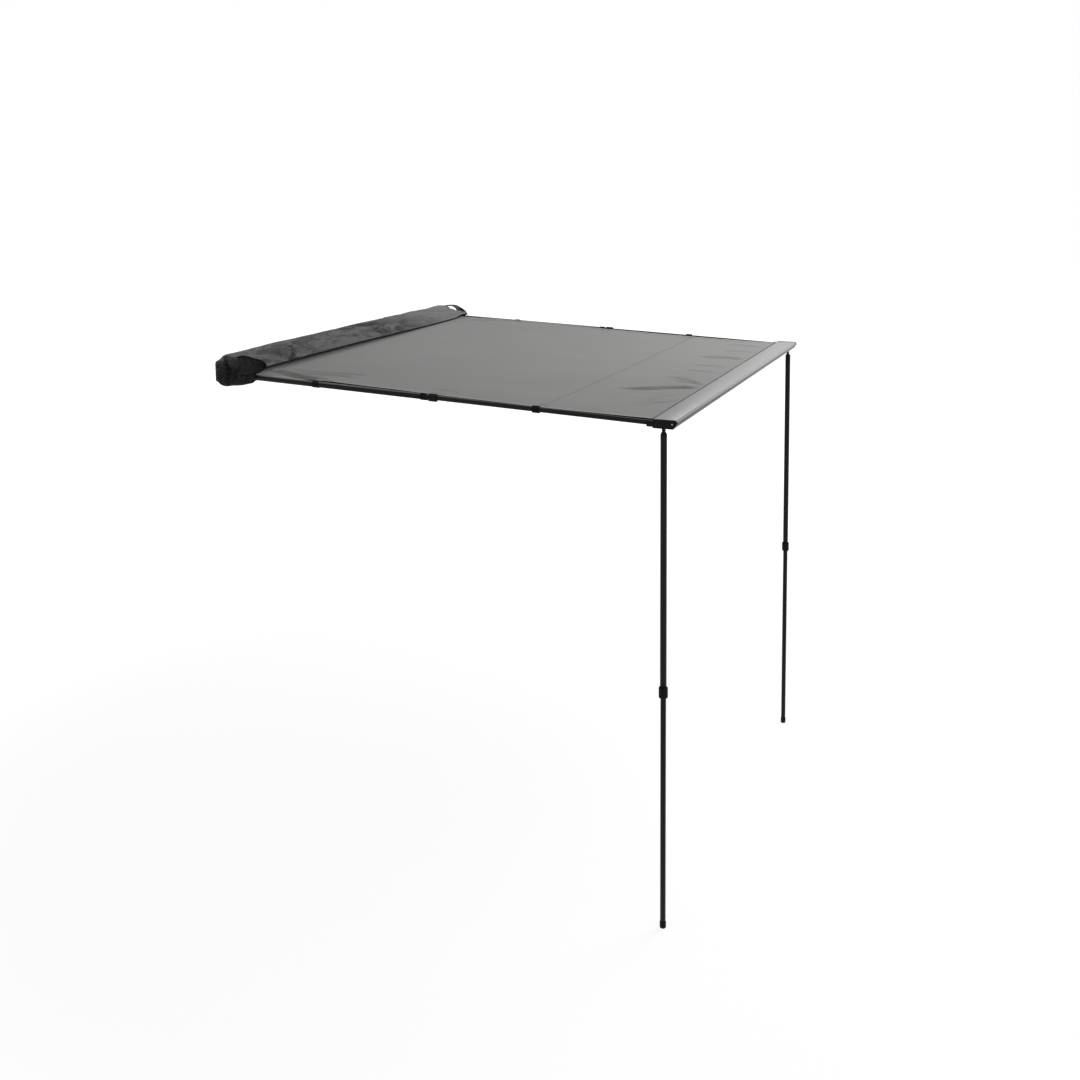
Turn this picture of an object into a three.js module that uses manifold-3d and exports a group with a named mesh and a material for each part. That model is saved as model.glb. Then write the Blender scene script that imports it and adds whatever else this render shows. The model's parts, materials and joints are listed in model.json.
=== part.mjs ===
// Vehicle side awning, set up for use: a storage bag and channel along the vehicle, a cloth canopy,
// a lead bar, two telescopic rafters and two telescopic legs that fold up into the lead bar.
//
// Millimetres. X points out from the vehicle, Y runs along it and Z points up. The origin is the
// middle of the channel's rear face, which lies against the rack. The near side is at -Y.
//
// Rafters and legs are built down their own +Z, from the pin that they turn on. Groups then place
// them: the rafters slope down to the lead bar, and the legs hang straight from it.

import * as THREE from "three";
import { mergeVertices } from "three/addons/utils/BufferGeometryUtils.js";
import Module from "manifold-3d";

const wasm = await Module();
wasm.setup();

// Driving sizes

const sides = { near: -1, far: 1 };

const mountHeight = 2175; // from the ground to the origin
const barReach = 2056; // from the rear face to the lead bar's inner edge
const slope = THREE.MathUtils.degToRad(2.03); // fall of the rafters towards the lead bar
const gap = 0.3; // between pieces that touch
const freeGap = 0.5; // between pieces that turn or slide past each other
const overrun = 2; // how far a cutting shape runs past what it cuts

const canopy = {
  width: 2096,
  endMargin: 2,
  cloth: 2.4,
  sag: 12,
  creaseHeight: 4,
  creases: 6,
};

const channel = {
  length: canopy.width + 2 * canopy.endMargin,
  depth: 20,
  height: 80,
  corner: 2,
  wall: 2.5,
  slotZ: 22,
  slotMouth: 9,
  slotLip: 3,
  slotWidth: 17,
  slotDepth: 6,
  kederZ: 24,
  kederRadius: 4,
  kederMouth: 3.6,
};

// how far these reach past each end of the channel; the rafter's is to its middle
const endReach = { casting: 31, rafter: 18, bar: 32.5, bag: 50 };

const casting = {
  plate: 5,
  relief: 16,
  depth: 32,
  top: 9,
  outer: channel.length / 2 + endReach.casting,
  plugLength: 16,
  earThickness: 6,
  earRadius: 12,
  fillet: 5,
};

const pivot = {
  swingX: 60,
  tiltX: 85,
  z: -9,
  y: channel.length / 2 + endReach.rafter,
  pinRadius: 4,
  headRadius: 6.5,
  headHeight: 2,
  knuckleRadius: 12,
  knuckleHeight: 20,
  tongueWidth: 8,
  tongueRadius: 8.5,
  cheek: 5,
  cheekRadius: 11,
};

// the rafter's flat tip starts and ends this far short of the lead bar, and its outer tube of halfway
const rafterShort = { shoulder: 27, tip: 2, joint: 20 };

const rafter = {
  outerRadius: 12.5,
  outerWall: 1.5,
  innerRadius: 10,
  innerWall: 1.6,
  tubeStart: 13,
  outerEnd: barReach / 2 - rafterShort.joint,
  overlap: 104,
  innerEnd: barReach - pivot.tiltX - rafterShort.shoulder,
  plugLength: 28,
  bushHead: 10,
  bushPlug: 16,
  sleeve: 14,
  sleeveWall: 1.6,
  fingers: 20,
  fingerTaper: 1.5,
  collarBack: 15,
  collarFront: 23,
  collarRadius: 17,
  flutes: 10,
  tipShoulder: 3,
  bladeEnd: barReach - pivot.tiltX - rafterShort.tip,
  bladeThickness: 10,
  bladeWidth: 12,
};

const barTopWidth = 91;
// how far these lie past the top's outer edge, or short of it
const barEdge = { nose: 7, foot: -9, boss: -2, plug: -8, farLeg: -28 };

const bar = {
  length: channel.length + 2 * endReach.bar,
  top: -63,
  height: 34,
  topWidth: barTopWidth,
  noseWidth: barTopWidth + barEdge.nose,
  noseDrop: 11,
  bottomWidth: barTopWidth + barEdge.foot,
  wall: 2.5,
  innerLip: 10,
  kederX: 6.5,
  kederDrop: 6,
  kederRadius: 4,
  kederMouth: 3.6,
  bossX: barTopWidth + barEdge.boss,
  bossDrop: 8.5,
  bossRadius: 4.5,
  bossBore: 2,
  capPlate: 2.7,
  capPlug: 17,
  capPlugWall: 3,
  capPlugEnd: barTopWidth + barEdge.plug,
  earReach: 25,
  earTop: 8,
  earBottom: 29,
  cradleWall: 4,
  legInset: 52,
};

const leg = {
  y: bar.length / 2 - bar.legInset,
  near: 29,
  far: barTopWidth + barEdge.farLeg,
  pinDrop: 23.5,
  outerRadius: 13,
  outerWall: 1.2,
  innerRadius: 11.2,
  innerWall: 1.4,
  tubeStart: 43.5,
  outerEnd: 1085.5,
  overlap: 140,
  plugLength: 30,
  shoulder: 8,
  bushHead: 10,
  bushPlug: 16,
  sleeve: 16,
  sleeveWall: 1.8,
  fingers: 22,
  fingerTaper: 1.6,
  collarBack: 17,
  collarFront: 27,
  collarRadius: 18.5,
  flutes: 12,
  tongueWidth: 10,
  tongueRadius: 9,
  cheek: 5,
  baseThickness: 3.7,
  bracketHalf: 13,
  cheekRadius: 10,
  pinRadius: 3.8,
  headRadius: 6,
  headHeight: 1.5,
  footHeight: 28,
  footRadius: 13,
  footBase: 5,
  footChamfer: 2.5,
  footGroove: 1.5,
};

const lock = {
  slotWidth: 2.4,
  slotStart: 4,
  chamfer: 3,
  fluteRadius: 1.6,
  fluteProud: 0.5,
  fluteInset: 4,
};

const bead = { radius: 3.6, endInset: 5 };

const bag = {
  length: channel.length + 2 * endReach.bag,
  cloth: 4,
  hoodReach: 186,
  hoodHeight: 74,
  flapReach: 112,
  flapDrop: 67,
  farDroop: 20,
  nearBulge: 14,
  farRise: 6,
  nearFlare: 60,
  nearRise: 30,
  flapFlare: 95,
  flapRise: 20,
  waveHeight: 2.5,
  endBulge: 13,
  rearRound: 16,
  pipingRadius: 2.5,
};

const strap = { thickness: 2, width: 30, tabLength: 36, tabThickness: 1.6, clear: 0.4 };

// Shares of the sizes above

// hood from the channel's top to the lip: shares of hoodReach and hoodHeight
const hoodShares = [
  [0.015, 0.581],
  [0.05, 0.73],
  [0.14, 0.905],
  [0.26, 1],
  [0.375, 0.985],
  [0.5, 0.89],
  [0.625, 0.74],
  [0.75, 0.56],
  [0.86, 0.38],
  [0.94, 0.235],
  [1, 0.135],
];
// lower flap from the channel's foot to its front edge: shares of flapReach and flapDrop
const flapShares = [
  [0.03, 0.642],
  [0.18, 0.776],
  [0.4, 0.955],
  [0.67, 1],
  [1, 0.866],
];
// how far out the stations along the canopy lie, and its height between the two keder slots there
const canopyShares = [
  [0, 1],
  [0.02, 0.9],
  [0.05, 0.763],
  [0.088, 0.667],
  [0.13, 0.642],
  [0.184, 0.624],
  [0.24, 0.598],
  [0.3, 0.553],
  [0.36, 0.497],
  [0.43, 0.432],
  [0.49, 0.362],
  [0.55, 0.301],
  [0.61, 0.25],
  [0.67, 0.202],
  [0.73, 0.15],
  [0.79, 0.102],
  [0.85, 0.062],
  [0.904, 0.033],
  [0.945, 0.014],
  [0.978, 0.003],
  [1, 0],
];
const canopyRowShare = 1 / 26; // spacing of the canopy's lengthwise rows
const bagRowShare = 1 / 30; // spacing of the bag's sections
const bagEndShare = 0.82; // where the bag's swollen and drooping ends begin
const bagCornerShare = 0.966; // where its rear corners begin to round off
const bagTipShare = 0.93; // where the lip begins to stand out at the near end
const strapShares = [0.257, 0.5127, 0.7594]; // the straps' places between rear face and lead bar
const creaseShare = 0.94; // where the creases at the lead bar are deepest
const roundSides = 20;
const smallSides = 12;
const weldShare = 0.0001;

// Finishes seen in the photograph

const finishes = {
  silver: { color: 0xb4b5b7, roughness: 0.42, metalness: 0.85 },
  blackMetal: { color: 0x17181a, roughness: 0.48, metalness: 0.55 },
  blackPlastic: { color: 0x121214, roughness: 0.6, metalness: 0 },
  steel: { color: 0x8e9094, roughness: 0.35, metalness: 0.9 },
  canopyCloth: { color: 0x8c8c8a, roughness: 0.85, metalness: 0 },
  bagCloth: { color: 0x4c4c4e, roughness: 0.8, metalness: 0 },
  webbing: { color: 0x1a1a1c, roughness: 0.9, metalness: 0 },
};

// Closed geometry and cuts

function volumeOf(position, corners) {
  const [a, b, c] = [new THREE.Vector3(), new THREE.Vector3(), new THREE.Vector3()];
  let sum = 0;
  for (let i = 0; i < corners.length; i += 3) {
    a.fromBufferAttribute(position, corners[i]);
    b.fromBufferAttribute(position, corners[i + 1]);
    c.fromBufferAttribute(position, corners[i + 2]);
    sum += a.dot(b.cross(c));
  }
  return sum;
}

// merge shared vertices, drop flat triangles and turn the faces outwards
function closed(geometry) {
  const bare = new THREE.BufferGeometry();
  bare.setAttribute("position", geometry.getAttribute("position"));
  if (geometry.getIndex()) bare.setIndex(geometry.getIndex());
  const merged = mergeVertices(bare, weldShare);
  const corners = Array.from(merged.getIndex().array);
  const kept = [];
  for (let i = 0; i < corners.length; i += 3) {
    const [a, b, c] = corners.slice(i, i + 3);
    if (a !== b && b !== c && c !== a) kept.push(a, b, c);
  }
  merged.setIndex(volumeOf(merged.getAttribute("position"), kept) < 0 ? kept.reverse() : kept);
  return merged;
}

function manifoldOf(geometry) {
  return new wasm.Manifold(
    new wasm.Mesh({
      numProp: 3,
      vertProperties: new Float32Array(geometry.getAttribute("position").array),
      triVerts: new Uint32Array(geometry.getIndex().array),
    }),
  );
}

function geometryOf(manifold) {
  const mesh = manifold.getMesh();
  const geometry = new THREE.BufferGeometry();
  geometry.setAttribute("position", new THREE.BufferAttribute(new Float32Array(mesh.vertProperties), 3));
  geometry.setIndex(Array.from(mesh.triVerts));
  return geometry;
}

function join(...pieces) {
  return geometryOf(pieces.map(manifoldOf).reduce((all, next) => all.add(next)));
}

function cut(body, ...tools) {
  return geometryOf(tools.map(manifoldOf).reduce((left, tool) => left.subtract(tool), manifoldOf(body)));
}

// a shape through [a, b] points, each with an optional corner radius
function shapeOf(points) {
  const shape = new THREE.Shape();
  points.forEach(([a, b, radius = 0], i) => {
    const here = new THREE.Vector2(a, b);
    const [before, after] = [points.at(i - 1), points[(i + 1) % points.length]];
    const from = new THREE.Vector2(before[0], before[1]).sub(here).setLength(radius).add(here);
    const to = new THREE.Vector2(after[0], after[1]).sub(here).setLength(radius).add(here);
    if (i) shape.lineTo(from.x, from.y);
    else shape.moveTo(from.x, from.y);
    if (radius) shape.quadraticCurveTo(a, b, to.x, to.y);
  });
  return shape;
}

function rectangle(a0, a1, b0, b1, corner = 0) {
  return shapeOf([
    [a0, b0, corner],
    [a1, b0, corner],
    [a1, b1, corner],
    [a0, b1, corner],
  ]);
}

// a lug: round about the origin, with straight sides running to b = reach
function lug(radius, reach) {
  const shape = new THREE.Shape();
  shape.moveTo(radius, 0);
  shape.absarc(0, 0, radius, 0, Math.PI * -Math.sign(reach), reach > 0);
  shape.lineTo(-radius, reach);
  shape.lineTo(radius, reach);
  return shape;
}

// a shape in the two other axes, in X, Y, Z order, drawn out along one axis
function prism(axis, shape, from, to) {
  const [low, high] = from < to ? [from, to] : [to, from];
  const geometry = new THREE.ExtrudeGeometry(shape, {
    depth: high - low,
    bevelEnabled: false,
    curveSegments: 8,
  });
  const [X, Y, Z] = [new THREE.Vector3(1, 0, 0), new THREE.Vector3(0, 1, 0), new THREE.Vector3(0, 0, 1)];
  if (axis === "x") geometry.applyMatrix4(new THREE.Matrix4().makeBasis(Y, Z, X)).translate(low, 0, 0);
  if (axis === "y") {
    geometry.applyMatrix4(new THREE.Matrix4().makeBasis(X, Z, Y.clone().negate())).translate(0, high, 0);
  }
  if (axis === "z") geometry.translate(0, 0, low);
  return closed(geometry);
}

// a [radius, along] profile turned about an axis through a centre in the two other axes
function turned(axis, profile, centre = [0, 0], segments = roundSides) {
  const points = profile.map(([radius, along]) => new THREE.Vector2(radius, along));
  if (profile[0][0] > 0) points.push(points[0].clone());
  const geometry = new THREE.LatheGeometry(points, segments);
  if (axis === "x") geometry.rotateZ(-Math.PI / 2).translate(0, centre[0], centre[1]);
  if (axis === "y") geometry.translate(centre[0], 0, centre[1]);
  if (axis === "z") geometry.rotateX(Math.PI / 2).translate(centre[0], centre[1], 0);
  return closed(geometry);
}

function rod(axis, radius, from, to, centre = [0, 0], segments = smallSides) {
  const profile = [
    [0, from],
    [radius, from],
    [radius, to],
    [0, to],
  ];
  return turned(axis, profile, centre, segments);
}

// closed [x, z] rings at rising y, skinned and capped
function loft(rings) {
  const count = rings[0].points.length;
  const position = rings.flatMap(({ y, points }) => points.flatMap(([x, z]) => [x, y, z]));
  const index = [];
  rings.slice(1).forEach((ring, j) => {
    for (let i = 0; i < count; i += 1) {
      const next = (i + 1) % count;
      const [a, b] = [j * count + i, j * count + next];
      index.push(a, a + count, b, b, a + count, b + count);
    }
  });
  for (const [ring, direction] of [
    [0, 1],
    [rings.length - 1, -1],
  ]) {
    const outline = rings[ring].points.map(([x, z]) => new THREE.Vector2(x, z));
    const turn = Math.sign(THREE.ShapeUtils.area(outline)) * direction;
    for (const face of THREE.ShapeUtils.triangulateShape(outline, [])) {
      const area = THREE.ShapeUtils.area(face.map((k) => outline[k]));
      const ordered = Math.sign(area) === turn ? face : [...face].reverse();
      index.push(...ordered.map((k) => ring * count + k));
    }
  }
  const geometry = new THREE.BufferGeometry();
  geometry.setAttribute("position", new THREE.BufferAttribute(new Float32Array(position), 3));
  geometry.setIndex(index);
  return closed(geometry);
}

// the closed outline of a band of a given thickness along a line of [a, b] points
function band(line, thickness) {
  const offset = line.map(([a, b], i) => {
    const [a0, b0] = line[Math.max(i - 1, 0)];
    const [a1, b1] = line[Math.min(i + 1, line.length - 1)];
    const normal = new THREE.Vector2(b0 - b1, a1 - a0).setLength(thickness / 2);
    return { a, b, normal };
  });
  const above = offset.map(({ a, b, normal }) => [a + normal.x, b + normal.y]);
  const below = offset.map(({ a, b, normal }) => [a - normal.x, b - normal.y]);
  return [...above, ...below.reverse()];
}

// a polygon moved inwards by a distance, for points that run clockwise
function inset(points, distance) {
  const lines = points.map(([a, b], i) => {
    const [c, d] = points[(i + 1) % points.length];
    const along = new THREE.Vector2(c - a, d - b).normalize();
    const inward = new THREE.Vector2(along.y, -along.x).multiplyScalar(distance);
    return { from: new THREE.Vector2(a, b).add(inward), along };
  });
  return lines.map(({ from, along }, i) => {
    const before = lines.at(i - 1);
    const share = from.clone().sub(before.from).cross(along) / before.along.cross(along);
    const corner = before.from.clone().addScaledVector(before.along, share);
    return [corner.x, corner.y];
  });
}

function smoothStep(value, from, to) {
  const t = THREE.MathUtils.clamp((value - from) / (to - from), 0, 1);
  return t * t * (3 - 2 * t);
}

// Back channel and end castings

function backChannel() {
  const { depth, height, wall, slotZ, slotMouth, slotLip, slotWidth, slotDepth } = channel;
  const [half, high] = [channel.length / 2, height / 2];
  const through = (shape) => prism("y", shape, -half - overrun, half + overrun);
  const slotFloor = slotLip + slotDepth;
  const cuts = Object.values(sides).flatMap((side) => [
    through(rectangle(-overrun, slotFloor, side * slotZ - slotMouth / 2, side * slotZ + slotMouth / 2)),
    through(rectangle(slotLip, slotFloor, side * slotZ - slotWidth / 2, side * slotZ + slotWidth / 2)),
  ]);
  const keder = kederCentre();
  cuts.push(through(rectangle(keder.x, depth + overrun, keder.z - channel.kederMouth / 2, keder.z + channel.kederMouth / 2)));
  cuts.push(rod("y", channel.kederRadius, -half - overrun, half + overrun, [keder.x, keder.z]));
  cuts.push(through(middleChamber(0)));
  const low = slotZ - slotWidth / 2;
  cuts.push(through(rectangle(slotFloor + wall, depth - wall, wall - high, -low)));
  cuts.push(through(rectangle(wall, depth - wall, slotZ + slotWidth / 2 + wall, high - wall)));
  return cut(prism("y", rectangle(0, depth, -high, high, channel.corner), -half, half), ...cuts);
}

function kederCentre() {
  return { x: channel.depth - channel.kederRadius - channel.wall / 2, z: channel.kederZ };
}

function middleChamber(clear) {
  const { slotZ, slotWidth, wall, depth } = channel;
  const reach = slotZ - slotWidth / 2 - wall - clear;
  return rectangle(wall + clear, depth - wall - clear, -reach, reach);
}

function endCasting(side) {
  const start = channel.length / 2 + gap;
  const high = channel.height / 2;
  const { depth, top, fillet, relief } = casting;
  const block = shapeOf([
    [relief, -high],
    [channel.depth, -high, channel.corner],
    [depth, -high + fillet, fillet],
    [depth, top - fillet, fillet],
    [channel.depth, top],
    [relief, top],
  ]);
  const plug = start - gap - casting.plugLength;
  const ear = ({ from, to }) => {
    const reach = casting.depth - pivot.swingX - overrun;
    return prism("x", lug(casting.earRadius, reach), from, to).translate(0, 0, pivot.swingX - pivot.tiltX);
  };
  const inner = pivot.knuckleHeight / 2 + gap;
  const ears = [1, -1].map((end) => {
    const plate = { from: end * inner, to: end * (inner + casting.earThickness) };
    return ear(plate).applyMatrix4(rafterFrame(side).matrix);
  });
  const body = join(
    prism("y", rectangle(0, channel.depth, -high, high, channel.corner), side * start, side * (start + casting.plate)),
    prism("y", block, side * start, side * casting.outer),
    prism("y", middleChamber(gap), side * plug, side * (start + overrun)),
    ...ears,
  );
  const bore = rod("x", pivot.pinRadius + gap, -channel.height / 2, channel.height / 2);
  return cut(body, bore.translate(0, 0, pivot.swingX - pivot.tiltX).applyMatrix4(rafterFrame(side).matrix));
}

// Rafters: local X is down, Y along the vehicle and Z down the tube, from the tilt pin

function rafterFrame(side) {
  const group = new THREE.Group();
  group.position.set(pivot.tiltX, side * pivot.y, pivot.z);
  group.rotation.y = Math.PI / 2 + slope;
  group.updateMatrix();
  return group;
}

function pinOf({ pinRadius, headRadius, headHeight }, axis, halfGrip, centre) {
  const [seat, end] = [halfGrip + gap, halfGrip + gap + headHeight];
  const profile = [
    [0, -end],
    [headRadius, -end],
    [headRadius, -seat],
    [pinRadius, -seat],
    [pinRadius, seat],
    [headRadius, seat],
    [headRadius, end],
    [0, end],
  ];
  return turned(axis, profile, centre, smallSides);
}

function swingPin() {
  const grip = pivot.knuckleHeight / 2 + gap + casting.earThickness;
  return pinOf(pivot, "x", grip, [0, pivot.swingX - pivot.tiltX]);
}

function tiltPin() {
  return pinOf(pivot, "y", pivot.tongueWidth / 2 + gap + pivot.cheek, [0, 0]);
}

function knuckle() {
  const back = pivot.swingX - pivot.tiltX;
  const half = pivot.knuckleHeight / 2;
  const tongue = prism("y", lug(pivot.tongueRadius, back), -pivot.tongueWidth / 2, pivot.tongueWidth / 2);
  const body = join(rod("x", pivot.knuckleRadius, -half, half, [0, back], roundSides), tongue);
  return cut(
    body,
    rod("x", pivot.pinRadius + gap, -half - overrun, half + overrun, [0, back]),
    rod("y", pivot.pinRadius + gap, -pivot.knuckleRadius, pivot.knuckleRadius),
  );
}

function rafterFork() {
  const bore = rafter.outerRadius - rafter.outerWall;
  const slot = pivot.tongueWidth / 2 + gap;
  const wide = slot + pivot.cheek;
  const floor = pivot.tongueRadius + freeGap;
  const profile = [
    [0, floor],
    [pivot.cheekRadius, floor],
    [rafter.outerRadius, floor + (rafter.outerRadius - pivot.cheekRadius)],
    [rafter.outerRadius, rafter.tubeStart],
    [bore - gap, rafter.tubeStart],
    [bore - gap, rafter.tubeStart + rafter.plugLength],
    [0, rafter.tubeStart + rafter.plugLength],
  ];
  const cheeks = cut(
    prism("y", lug(pivot.cheekRadius, floor), -wide, wide),
    prism("y", rectangle(-rafter.outerRadius, rafter.outerRadius, -rafter.outerRadius, rafter.outerRadius), -slot, slot),
  );
  return cut(join(turned("z", profile), cheeks), rod("y", pivot.pinRadius + gap, -wide - overrun, wide + overrun));
}

function rafterTip() {
  const { innerRadius, innerWall, innerEnd, tipShoulder, bladeEnd, bladeThickness, bladeWidth, bushPlug } = rafter;
  const bore = innerRadius - innerWall - gap;
  const profile = [
    [0, innerEnd - bushPlug],
    [bore, innerEnd - bushPlug],
    [bore, innerEnd + gap],
    [innerRadius, innerEnd + gap],
    [innerRadius, innerEnd + tipShoulder],
    [0, innerEnd + tipShoulder],
  ];
  const [thick, wide] = [bladeThickness / 2, bladeWidth / 2];
  const chamfer = lock.chamfer;
  const blade = shapeOf([
    [-thick, innerEnd + gap],
    [thick, innerEnd + gap],
    [thick, bladeEnd, chamfer],
    [-thick, bladeEnd, chamfer],
  ]);
  return join(turned("z", profile), prism("y", blade, -wide, wide));
}

// Telescopic tubes and their twist locks, for rafters and legs alike

function outerTube({ outerRadius, outerWall, tubeStart, outerEnd }) {
  return hollowTube(outerRadius, outerWall, tubeStart + gap, outerEnd);
}

function hollowTube(radius, wall, from, to) {
  const profile = [
    [radius, from],
    [radius, to],
    [radius - wall, to],
    [radius - wall, from],
  ];
  return turned("z", profile);
}

// split collet: a sleeve round the outer tube's end, and four tapered fingers on the inner tube
function collet(size) {
  const [inner, end] = [size.innerRadius + gap, size.outerEnd];
  const [seat, rim] = [size.outerRadius + gap, size.outerRadius + gap + size.sleeveWall];
  const profile = [
    [seat, end - size.sleeve],
    [rim, end - size.sleeve],
    [rim, end + gap],
    [rim - size.fingerTaper, end + size.fingers],
    [inner, end + size.fingers],
    [inner, end + gap],
    [seat, end + gap],
  ];
  const [wide, thin] = [rim + overrun, lock.slotWidth / 2];
  const [from, to] = [end + lock.slotStart, end + size.fingers + overrun];
  return cut(
    turned("z", profile),
    prism("z", rectangle(-wide, wide, -thin, thin), from, to),
    prism("z", rectangle(-thin, thin, -wide, wide), from, to),
  );
}

// the fluted nut that squeezes the collet's fingers as it is turned
function collar(size) {
  const end = size.outerEnd;
  const bore = size.outerRadius + gap + size.sleeveWall + gap;
  const [back, front] = [end - size.collarBack, end + size.collarFront];
  const rim = size.collarRadius;
  const chamfer = lock.chamfer;
  const mouth = size.innerRadius + freeGap;
  const profile = [
    [bore, back],
    [rim - chamfer / 2, back],
    [rim, back + chamfer],
    [rim, front - chamfer],
    [rim - chamfer, front],
    [mouth, front],
    [mouth, end + size.fingers + gap],
    [bore - size.fingerTaper, end + size.fingers + gap],
    [bore, end + gap],
  ];
  const flutes = Array.from({ length: size.flutes }, (_, i) => {
    const turn = ((i + 1 / 2) * 2 * Math.PI) / size.flutes;
    const radius = rim + lock.fluteProud;
    const centre = [radius * Math.cos(turn), radius * Math.sin(turn)];
    return rod("z", lock.fluteRadius, back + lock.fluteInset, front - lock.fluteInset, centre, 8);
  });
  return cut(turned("z", profile), ...flutes);
}

function innerStart(size) {
  return size.outerEnd - size.overlap;
}

// slide bush in the inner tube's hidden end
function slideBush(size) {
  const from = innerStart(size);
  const [head, plug] = [size.outerRadius - size.outerWall - gap, size.innerRadius - size.innerWall - gap];
  const profile = [
    [0, from - size.bushHead],
    [head, from - size.bushHead],
    [head, from],
    [plug, from],
    [plug, from + size.bushPlug],
    [0, from + size.bushPlug],
  ];
  return turned("z", profile);
}

function innerTube(size, end) {
  return hollowTube(size.innerRadius, size.innerWall, innerStart(size) + gap, end);
}

// Straps, each a loop round a rafter with a tab under the canopy's edge

function strapAt(side, share) {
  const x = share * barReach;
  const along = (x - pivot.tiltX) / Math.cos(slope);
  const centre = { y: side * pivot.y, z: pivot.z - along * Math.sin(slope) };
  const tube = along < rafter.outerEnd ? rafter.outerRadius : rafter.innerRadius;
  const hole = tube + strap.clear;
  const [from, to] = [x - strap.width / 2, x + strap.width / 2];
  const fall = (strap.width * Math.sin(slope)) / 2;
  const ring = [
    [hole + fall, from],
    [hole + strap.thickness + fall, from],
    [hole + strap.thickness + fall, to],
    [hole + fall, to],
  ];
  const edge = canopy.width / 2 - overrun;
  const inner = (edge - strap.tabLength) / (canopy.width / 2);
  const lowest = Math.min(...[from, to].flatMap((at) => [canopyHeight(at, 1), canopyHeight(at, inner)]));
  const tabZ = lowest - (canopy.cloth + strap.tabThickness) / 2 - freeGap;
  const middle = hole + fall + strap.thickness / 2;
  const rise = THREE.MathUtils.clamp((tabZ - centre.z) / middle, -0.8, 0.8);
  const line = [
    [centre.y - side * middle * Math.sqrt(1 - rise * rise), centre.z + middle * rise],
    [side * edge, tabZ],
    [side * (edge - strap.tabLength), tabZ],
  ];
  const tab = prism("x", shapeOf(band(line, strap.tabThickness)), from, to);
  return join(turned("x", ring, [centre.y, centre.z]), tab);
}

// Canopy: a thin sheet from the channel's keder slot to the lead bar's

function barKeder() {
  return { x: barReach + bar.kederX, z: bar.top - bar.kederDrop };
}

function canopySpan() {
  const clear = bead.radius + gap;
  return { from: kederCentre().x + clear, to: barKeder().x - clear };
}

function canopyHeight(x, v) {
  const { from, to } = canopySpan();
  const t = THREE.MathUtils.clamp((x - from) / (to - from), 0, 1);
  const after = Math.max(canopyShares.findIndex(([share]) => share >= t), 1);
  const [[t0, h0], [t1, h1]] = [canopyShares[after - 1], canopyShares[after]];
  const share = THREE.MathUtils.lerp(h0, h1, (t - t0) / (t1 - t0));
  const level = THREE.MathUtils.lerp(barKeder().z, kederCentre().z, share);
  const sag = canopy.sag * (1 - v * v) * 4 * t * (1 - t);
  const near = smoothStep(t, 2 * creaseShare - 1, creaseShare) * (1 - smoothStep(t, creaseShare, 1));
  const crease = canopy.creaseHeight * near * Math.sin(canopy.creases * Math.PI * v) * (1 - v * v);
  return level - sag + crease;
}

function canopySheet() {
  const { from, to } = canopySpan();
  const rings = Array.from({ length: Math.round(1 / canopyRowShare) + 1 }, (_, j) => {
    const v = 2 * j * canopyRowShare - 1;
    const line = canopyShares.map(([share]) => {
      const x = THREE.MathUtils.lerp(from, to, share);
      return [x, canopyHeight(x, v)];
    });
    const above = line.map(([x, z]) => [x, z + canopy.cloth / 2]);
    const below = line.map(([x, z]) => [x, z - canopy.cloth / 2]);
    return { y: (v * canopy.width) / 2, points: [...above, ...below.reverse()] };
  });
  return loft(rings);
}

function kederBead({ x, z }) {
  const half = canopy.width / 2 - bead.endInset;
  return rod("y", bead.radius, -half, half, [x, z]);
}

// Bag: a hood over the channel, a flap below it and a panel at each end, open at the front

function bagEnds(s) {
  const corner = bag.rearRound * smoothStep(Math.abs(s), bagCornerShare, 1);
  const tip = smoothStep(-s, bagTipShare, 1);
  return { near: smoothStep(-s, bagEndShare, 1), far: smoothStep(s, bagEndShare, 1), corner, tip };
}

function hoodLine(s) {
  const { near, far, corner, tip } = bagEnds(s);
  const wave = bag.waveHeight * (Math.sin(9 * s + 1) + Math.sin(17 * s) / 2);
  return hoodShares.map(([a, b]) => {
    const crest = Math.sin(Math.PI * Math.min(1, 1.2 * a));
    const lip = a * a;
    const lift = (wave + near * bag.nearBulge - far * bag.farDroop) * crest;
    const rise = (tip * bag.nearRise + far * bag.farRise) * lip;
    const out = a * bag.hoodReach + tip * bag.nearFlare * lip + corner * (1 - a) ** 2;
    return [out, b * bag.hoodHeight + lift + rise];
  });
}

function flapLine(s) {
  const { near, corner } = bagEnds(s);
  const wave = bag.waveHeight * Math.sin(11 * s);
  return flapShares.map(([a, b]) => {
    const front = a * a;
    const out = a * bag.flapReach + near * bag.flapFlare * front + corner * (1 - a) ** 2;
    return [out, -b * bag.flapDrop + (near * bag.flapRise + wave / 2) * front];
  });
}

function bagSections() {
  return Array.from({ length: Math.round(1 / bagRowShare) + 1 }, (_, j) => 2 * j * bagRowShare - 1);
}

function endPanel(side) {
  const [hood, flap] = [hoodLine(side), flapLine(side)];
  const [lip, foot] = [hood.at(-1), flap.at(-1)];
  const front = [0.25, 0.5, 0.75].map((t) => [
    THREE.MathUtils.lerp(lip[0], foot[0], t) + bag.endBulge * Math.sin(Math.PI * t),
    THREE.MathUtils.lerp(lip[1], foot[1], t),
  ]);
  const outline = [...hood, ...front, ...flap.reverse()];
  const half = bag.length / 2;
  return prism("y", shapeOf(outline), side * (half - bag.cloth), side * half);
}

function bagShell() {
  const half = bag.length / 2;
  const shell = (lineAt) => loft(bagSections().map((s) => ({ y: s * half, points: band(lineAt(s), bag.cloth) })));
  return join(shell(hoodLine), shell(flapLine), endPanel(sides.near), endPanel(sides.far));
}

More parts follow.
